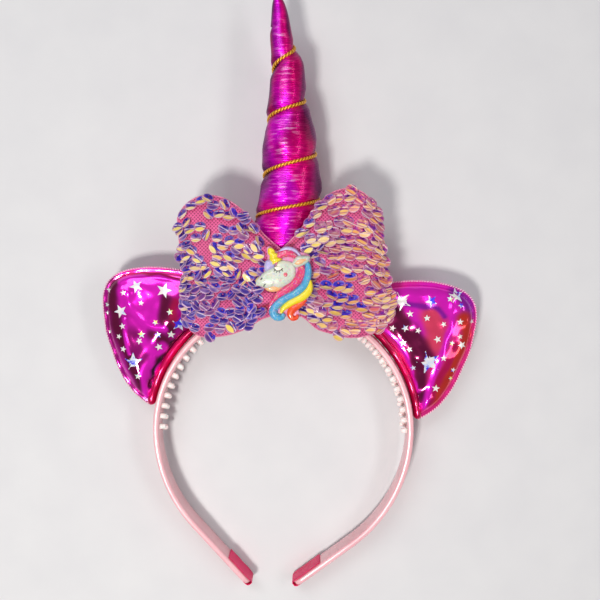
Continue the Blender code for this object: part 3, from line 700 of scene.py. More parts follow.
def horn_finish():
    """Half metallic knit: ribs round the horn, magenta to crimson patches, painted shade on its
    flanks and painted highlights on the bulges.
    """
    n = Finish("magenta lame", {
        "Metallic": 0.52, "Anisotropic": 0.3, "Specular Tint": (0.80, 0.12, 0.70, 1.0),
        "Coat Weight": 0.18, "Coat Roughness": 0.16})
    place = n.place()
    ribs = n.wave(place, "Y", Scale=400.0, Distortion=2.4, Detail=2.0, Detail_Scale=0.6)
    patch = n.noise(n.mapped(place, (1.0, 0.45, 1.0)), 75.0)
    streak = n.noise(n.mapped(place, (0.20, 1.0, 0.20)), 800.0)
    # Reflections and shade painted by angle round the horn: dark purple on both flanks, magenta and
    # crimson across the front.
    colour = n.ramp(n.value("painted_reflection_and_shade"), (0.05, (0.060, 0.0, 0.055)), (0.14, (0.30, 0.0, 0.22)),
                    (0.27, (0.85, 0.0, 0.66)), (0.50, (1.0, 0.005, 0.85)),
                    (0.66, (0.95, 0.0, 0.28)), (0.84, (0.75, 0.0, 0.20)),
                    (0.97, (0.16, 0.0, 0.09)))
    red = n.step(n.noise(n.mapped(place, (1.0, 0.5, 1.0)), 62.0), 0.50, 0.62)
    colour = n.mix(n.times(red, 0.60), colour, (0.85, 0.0, 0.14))
    colour = n.shade(0.60, colour, patch, (0.34, (0.42, 0.10, 0.48)), (0.52, WHITE))
    colour = n.shade(0.50, colour, streak, (0.36, (0.42, 0.36, 0.50)), (0.58, WHITE))
    colour = n.shade(0.28, colour, ribs, (0.0, (0.45, 0.35, 0.50)), (0.45, WHITE))
    # Painted highlights: pale pink where the streaks are strong on the crowns of the bulges.
    painted_highlight_share = n.times(n.step(streak, 0.55, 0.68), n.times(n.value("painted_bulge_highlight"), 0.7))
    n.feed("Base Color", n.mix(painted_highlight_share, colour, (1.0, 0.55, 0.90)))
    n.spread("Roughness", streak, 0.22, 0.42)
    n.bump((patch, 0.0010, 0.25), (ribs, 0.00018, 0.50), (streak, 0.0003, 0.40))
    return n.material


def gold_finish():
    """Twisted gold thread: painted highlights on the ridges and painted brown shade between the
    plies.
    """
    n = Finish("gold cord", {"Metallic": 0.45})
    fleck = n.noise(n.place(), 1500.0)
    # Painted highlight on each ply's crown and painted shade between the plies.
    painted_ply_light_and_shade = n.plus(n.times(n.value("ply"), 0.7), n.times(fleck, 0.3))
    n.feed("Base Color", n.ramp(painted_ply_light_and_shade, (0.15, (0.20, 0.055, 0.0)), (0.40, (0.66, 0.26, 0.008)),
                                (0.68, (0.92, 0.46, 0.02)), (0.95, (1.0, 0.74, 0.16))))
    n.spread("Roughness", fleck, 0.22, 0.45)
    n.bump((fleck, 0.0001, 0.4))
    return n.material


def mesh_cloth_finish():
    """Fine knitted mesh: a diagonal net of small holes, darker inside them, and painted shade in the
    low folds of the gathers.
    """
    n = Finish("pink mesh cloth", {
        "Sheen Weight": 0.5, "Sheen Roughness": 0.5, "Sheen Tint": (1.0, 0.6, 0.75, 1.0),
        "Roughness": 0.55})
    turned = n.mapped(n.place("UV"), (1.0, 1.0, 1.0), 45.0)
    net = n.maths("MAXIMUM", *(n.wave(turned, way, Scale=270.0, Distortion=0.3) for way in "XY"))
    cloud = n.noise(n.place(), 130.0, 3.0)
    colour = n.tones(cloud, (0.64, 0.060, 0.23), (0.82, 0.120, 0.33))
    colour = n.shade(0.9, colour, net, (0.40, (0.36, 0.10, 0.26)), (0.82, WHITE))
    # Painted shade, dark red, in the low folds of the gathers.
    colour = n.shade(0.85, colour, n.value("crease"), (0.0, WHITE), (1.0, (0.60, 0.05, 0.12)))
    n.feed("Base Color", colour)
    n.bump((net, 0.0002, 0.6), (cloud, 0.0006, 0.2))
    return n.material


def sequin_finish():
    """Clear iridescent flakes: a violet lens above the crease, a yellow or peach one below it.

    With x and y across a flake, a lens holds where its depth * (1 - x ** 2) exceeds |y - middle|.
    """
    n = Finish("iridescent sequins", {
        "Roughness": 0.32, "IOR": 1.45, "Coat Weight": 0.22, "Coat Roughness": 0.05})
    tint, rim, warmth, deep = (n.value(key) for key in ("tint", "rim", "warmth", "deep"))
    uv = n.place("UV")
    axes = n.add("SeparateXYZ", {"Vector": uv}).outputs
    curve = n.minus(1.0, n.times(axes["X"], axes["X"]))
    away = n.add("CombineXYZ", {"X": n.times(tint, 40.0), "Y": n.times(tint, 17.0)}).outputs[0]
    spot = n.add("VectorMath", {0: uv, 1: away}, operation="ADD").outputs[0]
    slant = n.mapped(spot, (0.50, 1.15, 1.0), 24.0)
    streak = n.noise(slant, 1.3, 1.0)

    def inside(middle, depth, low=0.48, high=0.53):
        offset = n.maths("ABSOLUTE", n.minus(axes["Y"], middle))
        lens = n.minus(n.times(curve, depth), offset)
        return lens, n.step(n.plus(lens, 0.5), low, high)

    over_lens, over = inside(0.47, 0.47)
    under = inside(-0.45, 0.44)[1]
    cool = n.ramp(n.plus(n.times(streak, 0.85), n.times(tint, 0.30)),
                  (0.34, (0.020, 0.007, 0.22)), (0.52, (0.045, 0.013, 0.31)),
                  (0.66, (0.095, 0.045, 0.36)), (0.80, (0.24, 0.13, 0.44)),
                  (0.92, (0.58, 0.40, 0.60)))
    mauve = n.ramp(streak, (0.32, (0.14, 0.010, 0.28)), (0.43, (0.42, 0.040, 0.32)),
                   (0.52, (0.84, 0.22, 0.22)), (0.64, (0.95, 0.48, 0.22)))
    blue = n.ramp(over_lens, (0.0, (0.16, 0.06, 0.50)), (0.10, (0.035, 0.020, 0.60)),
                  (0.35, (0.024, 0.014, 0.42)))
    top = n.mix(deep, n.mix(warmth, cool, mauve), blue)
    gold = n.ramp(n.plus(tint, n.times(streak, 0.3)),
                  (0.27, (0.05, 0.02, 0.28)), (0.37, (0.30, 0.17, 0.46)),
                  (0.42, (0.95, 0.62, 0.20)), (0.55, (0.97, 0.74, 0.12)),
                  (0.80, (0.97, 0.80, 0.22)), (1.0, (0.95, 0.70, 0.35)))
    peach = n.ramp(n.plus(n.times(tint, 0.6), n.times(streak, 0.4)),
                   (0.15, (0.86, 0.16, 0.14)), (0.40, (0.95, 0.38, 0.10)),
                   (0.62, (0.97, 0.56, 0.18)), (0.85, (0.98, 0.76, 0.32)))
    film = n.mix(warmth, n.ramp(streak, (0.35, (0.34, 0.09, 0.36)), (0.65, (0.66, 0.22, 0.42))),
                 n.ramp(streak, (0.35, (0.52, 0.07, 0.30)), (0.65, (0.88, 0.26, 0.24))))
    colour = n.mix(over, film, top)
    colour = n.mix(under, colour, n.mix(warmth, gold, peach))
    slit = n.times(inside(0.06, 0.05, 0.49, 0.51)[1], n.maths("GREATER_THAN", tint, 0.45))
    colour = n.mix(slit, colour, (0.04, 0.008, 0.10))
    crease = inside(-0.015, 0.035, 0.49, 0.51)[1]
    colour = n.mix(n.times(crease, 0.55), colour, (0.96, 0.78, 0.74))
    bars = n.step(n.wave(slant, "Y", Scale=0.42, Distortion=3.0, Detail=0.0), 0.74, 0.84)
    bars = n.times(n.times(bars, n.times(warmth, 0.75)), n.minus(1.0, n.times(deep, 0.9)))
    colour = n.mix(bars, colour, (0.40, 0.02, 0.26))
    # Thin pale lines across the flakes: painted highlights, cream on warm flakes and pale lilac on
    # cool ones.
    pale = n.step(n.wave(slant, "Y", Scale=0.22, Distortion=2.0, Detail=0.0), 0.94, 0.975)
    cream = n.mix(warmth, (0.90, 0.72, 0.84), (0.98, 0.80, 0.60))
    colour = n.mix(n.times(pale, n.minus(0.65, n.times(deep, 0.55))), colour, cream)
    n.feed("Base Color", n.mix(n.times(rim, 0.60), colour, (0.74, 0.54, 0.80)))
    solid = n.maths("MAXIMUM", n.maths("MAXIMUM", over, under), n.maths("MAXIMUM", rim, pale))
    n.spread("Alpha", solid, 0.50, 0.96)
    n.bump((streak, 0.0004, 0.35))
    return n.material


def resin_finish(name, colour, second, glitter):
    """Glossy resin with glitter held in it, and a thin clear coat."""
    n = Finish(name, {
        "Coat Weight": 0.6, "Coat Roughness": 0.08, "Roughness": 0.32, "Subsurface Weight": 0.15,
        "Subsurface Scale": 0.001})
    place = n.place()
    cloud = n.noise(place, 380.0)
    flakes = n.add("TexVoronoi", {"Vector": place, "Scale": 1900.0}).outputs
    spark = n.maths("GREATER_THAN", n.noise(flakes["Position"], 5.0e4, 0.0), 0.60)
    n.feed("Base Color", n.mix(n.times(spark, glitter), n.tones(cloud, colour, second),
                               flakes["Color"]))
    n.bump((flakes["Distance"], 0.0002, 0.25), (cloud, 0.0004, 0.2))
    return n.material


# Band

def band_stations(trim):
    """Outer line from left tip to right tip: straight arm, bend, arch, bend, straight arm.

    A bend or the arch is centre + radius * (cos a, sin a), where a is also the angle that the
    surface faces; an arm runs on along the tangent (-sin a, cos a), or against it on the right.
    """
    offset = ARM_BEND_RADIUS - ARCH_RADIUS

    def curve(centre, radius, start, end):
        a = np.linspace(start, end, max(3, int(abs(end - start) * radius / STATION_STEP)))
        return (centre, 0.0) + radius * heading(a), a

    def arm(straight):
        """Lengths along an arm, from its bend to its tip."""
        return np.linspace(0.0, straight - trim, int(straight / STATION_STEP))[1:, None]

    left, left_angle = curve(offset, ARM_BEND_RADIUS, math.pi + LEFT_ARM_BEND, math.pi)
    arch, arch_angle = curve(0.0, ARCH_RADIUS, math.pi, 0.0)
    right, right_angle = curve(-offset, ARM_BEND_RADIUS, 0.0, -RIGHT_ARM_BEND)
    a, b = left_angle[0], right_angle[-1]
    left_arm = left[0] + arm(LEFT_ARM_STRAIGHT)[::-1] * (-math.sin(a), math.cos(a))
    right_arm = right[-1] + arm(RIGHT_ARM_STRAIGHT) * (math.sin(b), -math.cos(b))
    line = np.vstack((left_arm, left, arch[1:], right[1:], right_arm))
    angle = np.concatenate((np.full(len(left_arm), a), left_angle, arch_angle[1:],
                            right_angle[1:], np.full(len(right_arm), b)))
    return line, angle


def rounded_section(count, power):
    """Superellipse of half size 1: sign(cos) * |cos| ** power against the same of the sine."""
    phi = full_turn(count)
    across = np.sign(np.cos(phi)) * np.abs(np.cos(phi)) ** power
    up = np.sign(np.sin(phi)) * np.abs(np.sin(phi)) ** power
    return across, up


def build_band():
    """Sweep a rounded section along the stations, narrowing by quarter circles at the tips.

    Low lips stand out along both rims of the outer face, past the ribbon that lies between them.
    """
    line, angle = band_stations(PLASTIC_TRIM)
    length = length_along(line)
    from_tip = np.minimum(length, length[-1] - length)
    near = np.clip(1.0 - from_tip / TIP_ROUNDING, 0.0, 0.985)
    share = np.sqrt(1.0 - near ** 2)
    across, up = rounded_section(28, 0.42)
    half = BAND_WIDTH / 2 - PLASTIC_SIDE_INSET
    edge = TIP_ROUNDING / half
    width = half * np.where(share < 1, 1 - edge + edge * share, 1.0)
    lip = PLASTIC_LIP * clamp((np.abs(up) - 0.74) / 0.08) * (across < 0.5)
    depth = (PLASTIC_FACE + PLASTIC_WALL / 2 * (1 + across)
             - lip * clamp(1 - across) * clamp(from_tip[:, None] / LIP_RUN_OUT))
    flat = line[:, None] - depth[..., None] * heading(angle)[:, None]
    plastic = tube_piece("band_plastic", with_z(flat, width[:, None] * up), plastic_finish())
    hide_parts("band")


def build_teeth():
    """Pegs in two staggered rows: a rounded section that shrinks and domes towards its tip."""
    across, up = rounded_section(12, 0.6)
    height, size = np.array(TOOTH_RINGS).T[..., None]
    shape, faces = closed_tube(np.stack(np.broadcast_arrays(
        -height * TOOTH_HEIGHT, size * across * TOOTH_LENGTH / 2, size * up * TOOTH_WIDTH / 2), -1))
    radius = ARCH_RADIUS - PLASTIC_FACE - PLASTIC_WALL
    pairs = int(COMB_HALF_ANGLE * radius / TOOTH_PITCH)
    step = np.tile(np.arange(-pairs, pairs) + 0.5, 2)
    row = np.repeat((0.5, -0.5), 2 * pairs)
    angle = math.pi / 2 - (step * TOOTH_PITCH + row * TOOTH_STAGGER) / radius
    outward = with_z(heading(angle), 0.0)
    along = with_z(left_of(outward), 0.0)
    upright = np.broadcast_to((0.0, 0.0, 1.0), outward.shape)
    points, faces = copies(shape, faces, np.stack((outward, along, upright), 1),
                           with_z(radius * heading(angle), row * TOOTH_ROW_SPACING))
    make_piece("band_teeth", points, faces, teeth_finish())


def build_ribbon():
    """Outer strip that turns round each tip on a half circle and runs back inside the arm."""
    line, angle = band_stations(RIBBON_TRIM)
    normal = heading(angle)
    inner = PLASTIC_FACE + PLASTIC_WALL + RIBBON_THICK * 0.7
    outer = RIBBON_THICK * 0.7
    middle, radius = (inner + outer) / 2, (inner - outer) / 2
    turn = np.linspace(0.0, math.pi, 14)[:, None]
    turned_in = RIBBON_TURN_IN + RIBBON_TAB_SPARE

    def tip(end, facing, ahead):
        """Half circle about the wall's middle, from the outer face round to the inner one."""
        round_face = np.cos(turn) * facing + np.sin(turn) * ahead
        arc = end - middle * facing + radius * round_face
        run = arc[-1] - np.linspace(0.0, turned_in, 14)[1:, None] * ahead
        return np.vstack((arc, run)), np.vstack((round_face, 0 * run - facing))

    left, left_face = tip(line[0], normal[0], unit(line[0] - line[1]))
    right, right_face = tip(line[-1], normal[-1], unit(line[-1] - line[-2]))
    path = np.vstack((left[::-1], (line - outer * normal)[1:-1], right))
    face = np.vstack((left_face[::-1], normal[1:-1], right_face))
    length = length_along(path)
    from_end = np.minimum(length, length[-1] - length)
    fold = turned_in + math.pi * radius / 2
    rounding = TIP_ROUNDING * 0.9
    near = clamp(1.0 - np.abs(from_end - fold) / rounding)
    past_tab = clamp((from_end - RIBBON_TURN_IN) / RIBBON_TAB_BLEND)
    half = BAND_WIDTH / 2 - RIBBON_SIDE_INSET - RIBBON_NARROWING * past_tab
    width = half - rounding * 0.55 * (1 - np.sqrt(1 - 0.96 * near ** 2))
    across, up = rounded_section(20, 0.35)
    flat = path[:, None] + (RIBBON_THICK / 2 * across)[None, :, None] * face[:, None]
    wave = RIBBON_WAVE * np.sin(length * 900)[:, None] * np.abs(up) ** 6
    z = width[:, None] * up + wave
    uv = np.stack(np.broadcast_arrays(length[:, None], z), -1)
    ribbon = tube_piece("ribbon_satin", with_z(flat, z), satin_finish(), uv=uv)
    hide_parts("ribbon")


# Ears

def ear_outline(side, count=150):
    """Free edge from foot to top, and the seat arc back along the band."""
    shares = smooth_line(EAR_OUTLINE, count)
    angle = EAR_FOOT[side] + EAR_BASE_ANGLE * shares[:, 0]
    reach = EAR_SEAT + EAR_HEIGHT * shares[:, 1]
    base_angle = np.linspace(angle[-1], angle[0], count // 2)
    return reach[:, None] * heading(angle), EAR_SEAT * heading(base_angle)


def ear_height(points, side, free, back=False):
    """Half thickness at a place: flange, then a quarter-round puff, puckers, dents and waist.

    puff = low + (full - low) * sqrt(1 - (1 - t) ** 2), with t from the flange inward; the waist by
    the hem rises the same way, and the smaller of the two holds.
    """
    seed = 11 + 7 * (side == "right") + 3 * back
    from_edge = distance_to(points, free)
    from_band = np.linalg.norm(points, axis=-1) - EAR_SEAT
    flange, full = EAR_FLANGE_THICKNESS / 2, EAR_THICKNESS / 2

    def puff(low, share):
        return low + (full - low) * quarter_round(1.0 - share)

    height = np.minimum(puff(flange, (from_edge - EAR_FLANGE) / EAR_PUFF),
                        puff(EAR_WAIST, (from_band - EAR_HEM * 0.86) / (EAR_PUFF * 1.1)))
    body = clamp((height - flange) / (full - flange))
    dents = (EAR_DENT * ripple(points, EAR_DENT_SPAN, seed)
             + EAR_SMALL_DENT * ripple(points, EAR_SMALL_DENT_SPAN, seed + 1))
    pucker = EAR_PUCKER * ripple(points, EAR_PUCKER_SPAN, seed + 2, 20)
    pucker = pucker * np.exp(-from_edge / EAR_PUCKER_REACH) * clamp(from_edge / MM)
    seam = EAR_SEAM_DEPTH * fade(from_edge - EAR_FLANGE * 0.92, EAR_SEAM_WIDTH)
    folds = 0.8 * crease_height(points, PAINTED_REFLECTION_STROKES[side]) * np.clip(body * 4, 0.25, 1.0)
    return height + body * (dents - EAR_SLACK) + folds + pucker - seam


def across_stroke(points, line, half_width):
    """Distance from a stroke as a share of its half width."""
    return distance_to(points, smooth_line(line, 4 * len(line)) * MM) / (half_width * MM)


def paint_reflections_and_shade(points, strokes, ground):
    """Lay the painted reflection and shade strokes over the ground; each hides it by exp(-(distance /
    half width) ** 4).
    """
    wander = [ripple(points, COLOUR_WANDER_SPAN, seed) for seed in (61, 62)]
    spots = points + COLOUR_WANDER * np.stack(wander, -1)
    colour = np.broadcast_to(FOIL_SHADES[ground], (*points.shape[:-1], 3))
    for shade, half_width, _, line in strokes:
        hidden = np.exp(-across_stroke(spots, line, half_width) ** 4)[..., None]
        colour = colour * (1 - hidden) + hidden * np.array(FOIL_SHADES[shade])
    return colour


def crease_height(points, strokes):
    """Sum of ridges: crease height * exp(-(distance / half width) ** 2)."""
    height = np.zeros(points.shape[:-1])
    for _, half_width, rise, line in strokes:
        if rise:
            height += rise * MM * np.exp(-across_stroke(points, line, half_width) ** 2)
    return height


def build_ear(side):
    """Front and back sheets on rings from the middle to the edge, closed round the rim."""
    mirror = (SIDES[side], 1.0)
    free, base = ear_outline(side)
    outline = np.vstack((free, base[1:-1]))
    middle = EAR_SEAT + EAR_HEIGHT * EAR_MIDDLE_SHARE
    middle = middle * heading(EAR_FOOT[side] + EAR_BASE_ANGLE / 2)
    rings = np.concatenate((np.linspace(0.03, 0.80, 38), np.linspace(0.82, 1.0, 22)))[:, None]
    flat = middle + (outline - middle) * rings[..., None]
    from_band = np.linalg.norm(flat, axis=-1, keepdims=True)
    floor = EAR_SEAT + EAR_HEM * 0.55
    flat = flat * np.where(from_band < floor, floor / from_band, 1.0)
    rim = quarter_round((rings - EAR_RIM_START) / EAR_RIM_REACH, 0.04)
    front, back = (np.maximum(ear_height(flat, side, free, behind), EAR_LEAST_HALF) * rim
                   for behind in (False, True))
    points = np.concatenate((with_z(flat * mirror, front), with_z(flat * mirror, -back)[::-1]))
    # The foil's colour with its reflections and shade painted on.
    foil_tone_and_painted_reflections = paint_reflections_and_shade(flat, PAINTED_REFLECTION_STROKES[side], "plum")
    foil = tube_piece("ear_%s_foil" % side, points, foil_material,
                      {"foil_tone_and_painted_reflections": np.concatenate((foil_tone_and_painted_reflections, foil_tone_and_painted_reflections[::-1]))})
    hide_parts("ear_" + side)
    build_hem(side, mirror)
    build_stars(side, mirror, free, outline)
    build_stitches(side, mirror, free)


def build_hem(side, mirror):
    """Rolled hem along the band: an upright oval that swells a little and rounds off at its ends."""
    first, last = EAR_FOOT[side] + HEM_END_INSET, EAR_FOOT[side] + EAR_BASE_ANGLE - HEM_END_INSET
    angle = np.linspace(first, last, 150)
    outward = heading(angle) * mirror
    path = with_z((EAR_SEAT + EAR_HEM / 2) * outward, 0.0)
    from_end = np.minimum(angle - first, last - angle)
    ends = quarter_round(1 - from_end / HEM_END_TAPER, 0.02)[:, None]
    phi = full_turn(28)
    radial = EAR_HEM / 2 * 0.98 * ends * np.cos(phi)
    swell = 1 + HEM_SWELL * ripple(path, HEM_SWELL_SPAN, 5)[:, None]
    points = with_z(path[:, None, :2] + radial[..., None] * outward[:, None],
                    EAR_HEM_THICKNESS / 2 * ends * swell * np.sin(phi))
    tone = (0.5 + 0.5 * ripple(points * (0.3, 0.3, 1.0), HEM_TONE_SPAN, 71))[..., None]
    light, dark = HEM_TONES
    hem = tube_piece("ear_%s_hem" % side, points, foil_material,
                     {"foil_tone_and_painted_reflections": clamp(tone * light + (1 - tone) * dark)})


def build_stars(side, mirror, free, outline):
    """Five-pointed stars: every 36 degrees the radius changes between 1 and the notch's share."""
    rng = np.random.default_rng(3 if side == "left" else 4)
    turn = np.arange(10) * math.pi / 5
    reach = np.where(np.arange(10) % 2 == 0, 1.0, STAR_NOTCH)
    tips = np.stack((reach * np.sin(turn), reach * np.cos(turn)), 1)
    star = np.vstack((np.zeros((1, 2)), tips * 0.5, tips))
    faces = [[0, 1 + (k + 1) % 10, 1 + k] for k in range(10)]
    faces += [[1 + k, 1 + (k + 1) % 10, 11 + (k + 1) % 10, 11 + k] for k in range(10)]
    points, joined, tint = [], [], []
    for back in (False, True):
        for out, up, across in STARS[side]:
            spin = rng.uniform(-0.5, 0.5)
            c, s = math.cos(spin), math.sin(spin)
            flat = star @ np.array(((c, s), (-s, c))) * (across * STAR_REACH) + (out, up)
            flat = flat * MM
            clear_of_band = np.linalg.norm(flat, axis=1).min() > EAR_SEAT + EAR_HEM
            clear_of_edge = distance_to(flat, free).min() > STAR_EDGE_GAP
            if not (clear_of_band and clear_of_edge and within(flat, outline).all()):
                continue
            height = ear_height(flat, side, free, back) + STAR_LIFT
            first = len(star) * len(points)
            points.append(with_z(flat * mirror, -height if back else height))
            flip = (mirror[0] > 0) != back
            joined += [[first + k for k in (face[::-1] if flip else face)] for face in faces]
            tint.append(np.full(len(star), rng.uniform(0.0, 1.0)))
    make_piece("ear_%s_stars" % side, np.vstack(points), joined, star_material,
               values={"tint": np.concatenate(tint)})


def build_stitches(side, mirror, free):
    """Overcast stitches: small rounded threads that slant across the sewn edge."""
    total = length_along(free)[-1]
    count = int(total / STITCH_PITCH)
    middle = (np.arange(count) + 0.5) / count * total
    place = at_length(middle, free)
    ahead = unit(at_length(middle + STITCH_INSET, free) - place)
    inward = left_of(ahead)
    along = np.array((-0.95, -0.6, 0.0, 0.6, 0.95))[:, None]
    girth = np.sqrt(1 - along ** 2)
    phi = full_turn(8)
    shape, faces = closed_tube(np.stack(np.broadcast_arrays(
        along, girth * np.cos(phi), girth * np.sin(phi)), -1))
    slant = ahead * 0.82 + inward * 0.57
    cross = left_of(slant)
    length, width, height = STITCH_HALF_SIZE
    axes = np.stack((with_z(slant * mirror, 0.0) * length, with_z(cross * mirror, 0.0) * width,
                     np.broadcast_to((0.0, 0.0, height), (count, 3))), 1)
    places = with_z((place + inward * STITCH_INSET) * mirror, 0.0)
    points, joined = copies(shape, faces, axes, places)
    make_piece("ear_%s_stitches" % side, points, facing_out(points, joined), stitch_material)


# Horn and cord

def horn_curve(share, column):
    """Read a column of the horn's profile at shares of its length."""
    table = np.array(HORN_PROFILE)
    curve = smooth_line(table, 1 + 12 * (len(table) - 1))
    order = np.argsort(curve[:, 0])
    return np.interp(share, curve[order, 0], curve[order, column])


def horn_radius(share):
    """Radius before the cord's groove comes off it."""
    return HORN_RADIUS * np.maximum(horn_curve(share, 1), 0.0)


def wind_on(value, known, wanted):
    """Read wanted from known in the cord's table, running straight on past both ends."""
    first = wanted[0] + (value - known[0]) * (wanted[1] - wanted[0]) / (known[1] - known[0])
    slope = (wanted[-1] - wanted[-2]) / (known[-1] - known[-2])
    last = wanted[-1] + (value - known[-1]) * slope
    inside = np.interp(value, known, wanted)
    return np.where(value < known[0], first, np.where(value > known[-1], last, inside))


HALF_TURNS = np.arange(len(CORD_HALF_TURNS), dtype=float)
CORD_PITCH = 2 * np.gradient(np.array(CORD_HALF_TURNS)).mean() * HORN_LENGTH


def from_cord(share, angle):
    """Signed distance along the horn from the nearest turn of cord."""
    turns = wind_on(share, np.array(CORD_HALF_TURNS), HALF_TURNS)
    phase = (turns * math.pi + math.pi / 2 - angle) / (2 * math.pi)
    wound = ((turns > CORD_FIRST_HALF_TURN - GROOVE_RUN_ON)
             & (turns < CORD_LAST_HALF_TURN + GROOVE_RUN_ON))
    return (phase - np.round(phase)) * CORD_PITCH, wound


def horn_point(share, angle, outward=0.0, folds=False):
    """Centre line plus radius less the cord's groove; the foot sags onto the band's arch."""
    away, wound = from_cord(share, angle)
    full = horn_radius(share)
    thin = clamp(full / (HORN_RADIUS * 0.5))
    across = clamp(np.abs(away) / (GROOVE_WIDTH / 2))
    groove = GROOVE_DEPTH * (0.5 + 0.5 * np.cos(math.pi * across)) * thin * wound
    radius = full - groove + outward
    if folds:
        spot = with_z(full[..., None] * heading(angle), share * HORN_LENGTH)
        pinch = CORD_PINCH * wound * fade(away, CORD_PINCH_REACH)
        gathers = (HORN_GATHER * wound * np.exp(-np.abs(away) / HORN_GATHER_REACH)
                   * ripple(spot * (1.0, 1.0, 0.45), HORN_GATHER_SPAN, 21, 22))
        creases = HORN_CREASE * ripple(spot, HORN_CREASE_SPAN, 22)
        radius = radius + thin * (gathers + creases - pinch) - HORN_SLACK
    x = HORN_LENGTH * horn_curve(share, 2) + radius * np.sin(angle)
    settle = clamp(1.0 - share / HORN_SETTLE_SHARE) ** 2
    sag = np.sqrt(EAR_SEAT ** 2 - np.minimum(np.abs(x), EAR_SEAT * 0.9) ** 2) - EAR_SEAT
    return np.stack((x, EAR_SEAT + HORN_LENGTH * share + settle * sag, radius * np.cos(angle)), -1)


def build_horn():
    """Rings of the stuffed cloth from a rounded foot to the closed point."""
    rows = 1.0 - np.linspace(1.0, 0.004, 400) ** HORN_ROW_CROWDING
    share, around = np.meshgrid(rows, full_turn(150), indexing="ij")
    body = horn_point(share, around, folds=True)
    lean = HORN_LENGTH * horn_curve(0.0, 2)
    cap = []
    for ring in HORN_FOOT_RINGS:
        x = lean + (body[0, :, 0] - lean) * ring
        y = np.sqrt(EAR_SEAT ** 2 - x ** 2) + 0.00005
        cap.append(np.stack((x, y, body[0, :, 2] * ring), -1))
    points = np.concatenate((np.array(cap), body))
    share, around = (np.concatenate((np.repeat(grid[:1], len(cap), 0), grid))
                     for grid in (share, around))
    sideways, front = np.sin(around), np.cos(around)
    # Reflections and shade painted by angle round the horn: dark on both flanks, bright across the
    # front.
    painted_reflection_and_shade = 0.55 + 0.5 * sideways * np.where(front > 0, 1.0, 0.35)
    painted_reflection_and_shade = painted_reflection_and_shade + 0.07 * ripple(points, 0.02, 31)
    # Painted highlight on the crown of each bulge between the cord's turns, towards the front.
    bulge = 0.5 - 0.5 * np.cos(2 * math.pi * from_cord(share, around)[0] / CORD_PITCH)
    painted_bulge_highlight = bulge * fade(sideways + 0.15, 0.42) * clamp(front * 4)
    horn = tube_piece("horn_cloth", points, horn_finish(), {"painted_reflection_and_shade": painted_reflection_and_shade, "painted_bulge_highlight": painted_bulge_highlight})
    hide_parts("horn")


def build_horn_cord():
    """Two-ply twist: a lobed section that turns as it runs up the groove."""
    turns = np.linspace(CORD_FIRST_HALF_TURN, CORD_LAST_HALF_TURN, 1500)
    share = wind_on(turns, HALF_TURNS, np.array(CORD_HALF_TURNS))
    path = horn_point(share, turns * math.pi + math.pi / 2, CORD_RADIUS - CORD_SUNK)
    twist = 2 * math.pi / CORD_LAY
    points = tube_along(path, CORD_RADIUS * 0.93, 14, lobes=2, lobe_depth=0.16, twist=twist)
    # ply is 1 on each ply's crown and 0 between the plies, for the cord's painted highlight and
    # shade.
    ply = 0.5 + 0.5 * np.cos(2 * (full_turn(14) - twist * length_along(path)[:, None]))
    cord = tube_piece("horn_cord_twist", points, gold_finish(), {"ply": ply})
    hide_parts("horn_cord")


# Bow

def wing_grid(side, columns, rows, inset=0.0):
    """Coons patch: ruled between top and bottom, plus middle to side, less the corners."""
    wing = WINGS[side]
    scale = np.array((BOW_REACH * SIDES[side], BOW_HEIGHT))
    upper = smooth_line(wing["top"], columns) * scale
    lower = smooth_line(wing["bottom"], columns) * scale
    outer = smooth_line(wing["side"], rows) * scale
    u = np.linspace(0.0, 1.0, columns)[:, None, None]
    v = np.linspace(0.0, 1.0, rows)[None, :, None]
    inner = lower[0] + (upper[0] - lower[0]) * v[0]
    grid = ((1 - v) * lower[:, None] + v * upper[:, None] + (1 - u) * inner[None]
            + u * outer[None] - ((1 - u) * (1 - v) * lower[0] + u * (1 - v) * lower[-1]
                                 + (1 - u) * v * upper[0] + u * v * upper[-1]))
    half = np.array((BOW_REACH, BOW_HEIGHT * 0.5))
    return grid * (1 - inset / half) + BOW_MIDDLE


def horn_front(x, y):
    """Height of the wound horn's front over a place in the band's plane; zero beside it."""
    share = clamp((y - EAR_SEAT) / HORN_LENGTH)
    radius = horn_radius(share) + HORN_FRONT_SPARE
    beside = x - HORN_LENGTH * horn_curve(share, 2)
    return np.sqrt(np.clip(radius ** 2 - beside ** 2, 0.0, None))


def bow_fold(x, row_share):
    """Gathers that fan out from the middle: cosines of the row share that fade outward."""
    def gathers(depth, folds, reach, phase=0.0):
        return depth * np.cos(2 * math.pi * folds * row_share + phase) * fade(x, reach)

    near = gathers(GATHER_DEPTH, 3.5, GATHER_REACH) + gathers(FINE_GATHER_DEPTH, 9.0,
                                                              GATHER_REACH, 1.3)
    return (near * clamp(np.abs(x) / GATHER_START)
            + gathers(LONG_GATHER_DEPTH, 5.0, GATHER_REACH * 1.7))


def bow_surface(points, away, row_share):
    """Back and front heights: a tent from the middle to the wings, as thick as the pad is."""
    x, y = points[..., 0], points[..., 1]
    seat = bow_top() - BOW_THICKNESS
    outer = EAR_THICKNESS / 2 + FIT_GAP + BOW_LIFT
    base = outer + (seat - outer) * fade(x, BOW_SHOULDER) + bow_fold(x, row_share)
    base = base + BOW_SWELL * ripple(points, BOW_SWELL_SPAN, 41) * clamp(np.abs(x) / 0.02)
    full = BOW_EDGE + (BOW_THICKNESS - BOW_EDGE) * quarter_round(1 - away)
    back = base + (BOW_THICKNESS - full) / 2
    back = np.maximum(back, horn_front(x, y) + 2 * FIT_GAP)
    front = np.maximum(base + (BOW_THICKNESS + full) / 2, back + BOW_EDGE) - BOW_SLACK
    under = np.abs(x) < CHARM_WIDTH / 2 + BOW_SEAM
    return back, np.where(under, np.minimum(front, bow_top()), front)


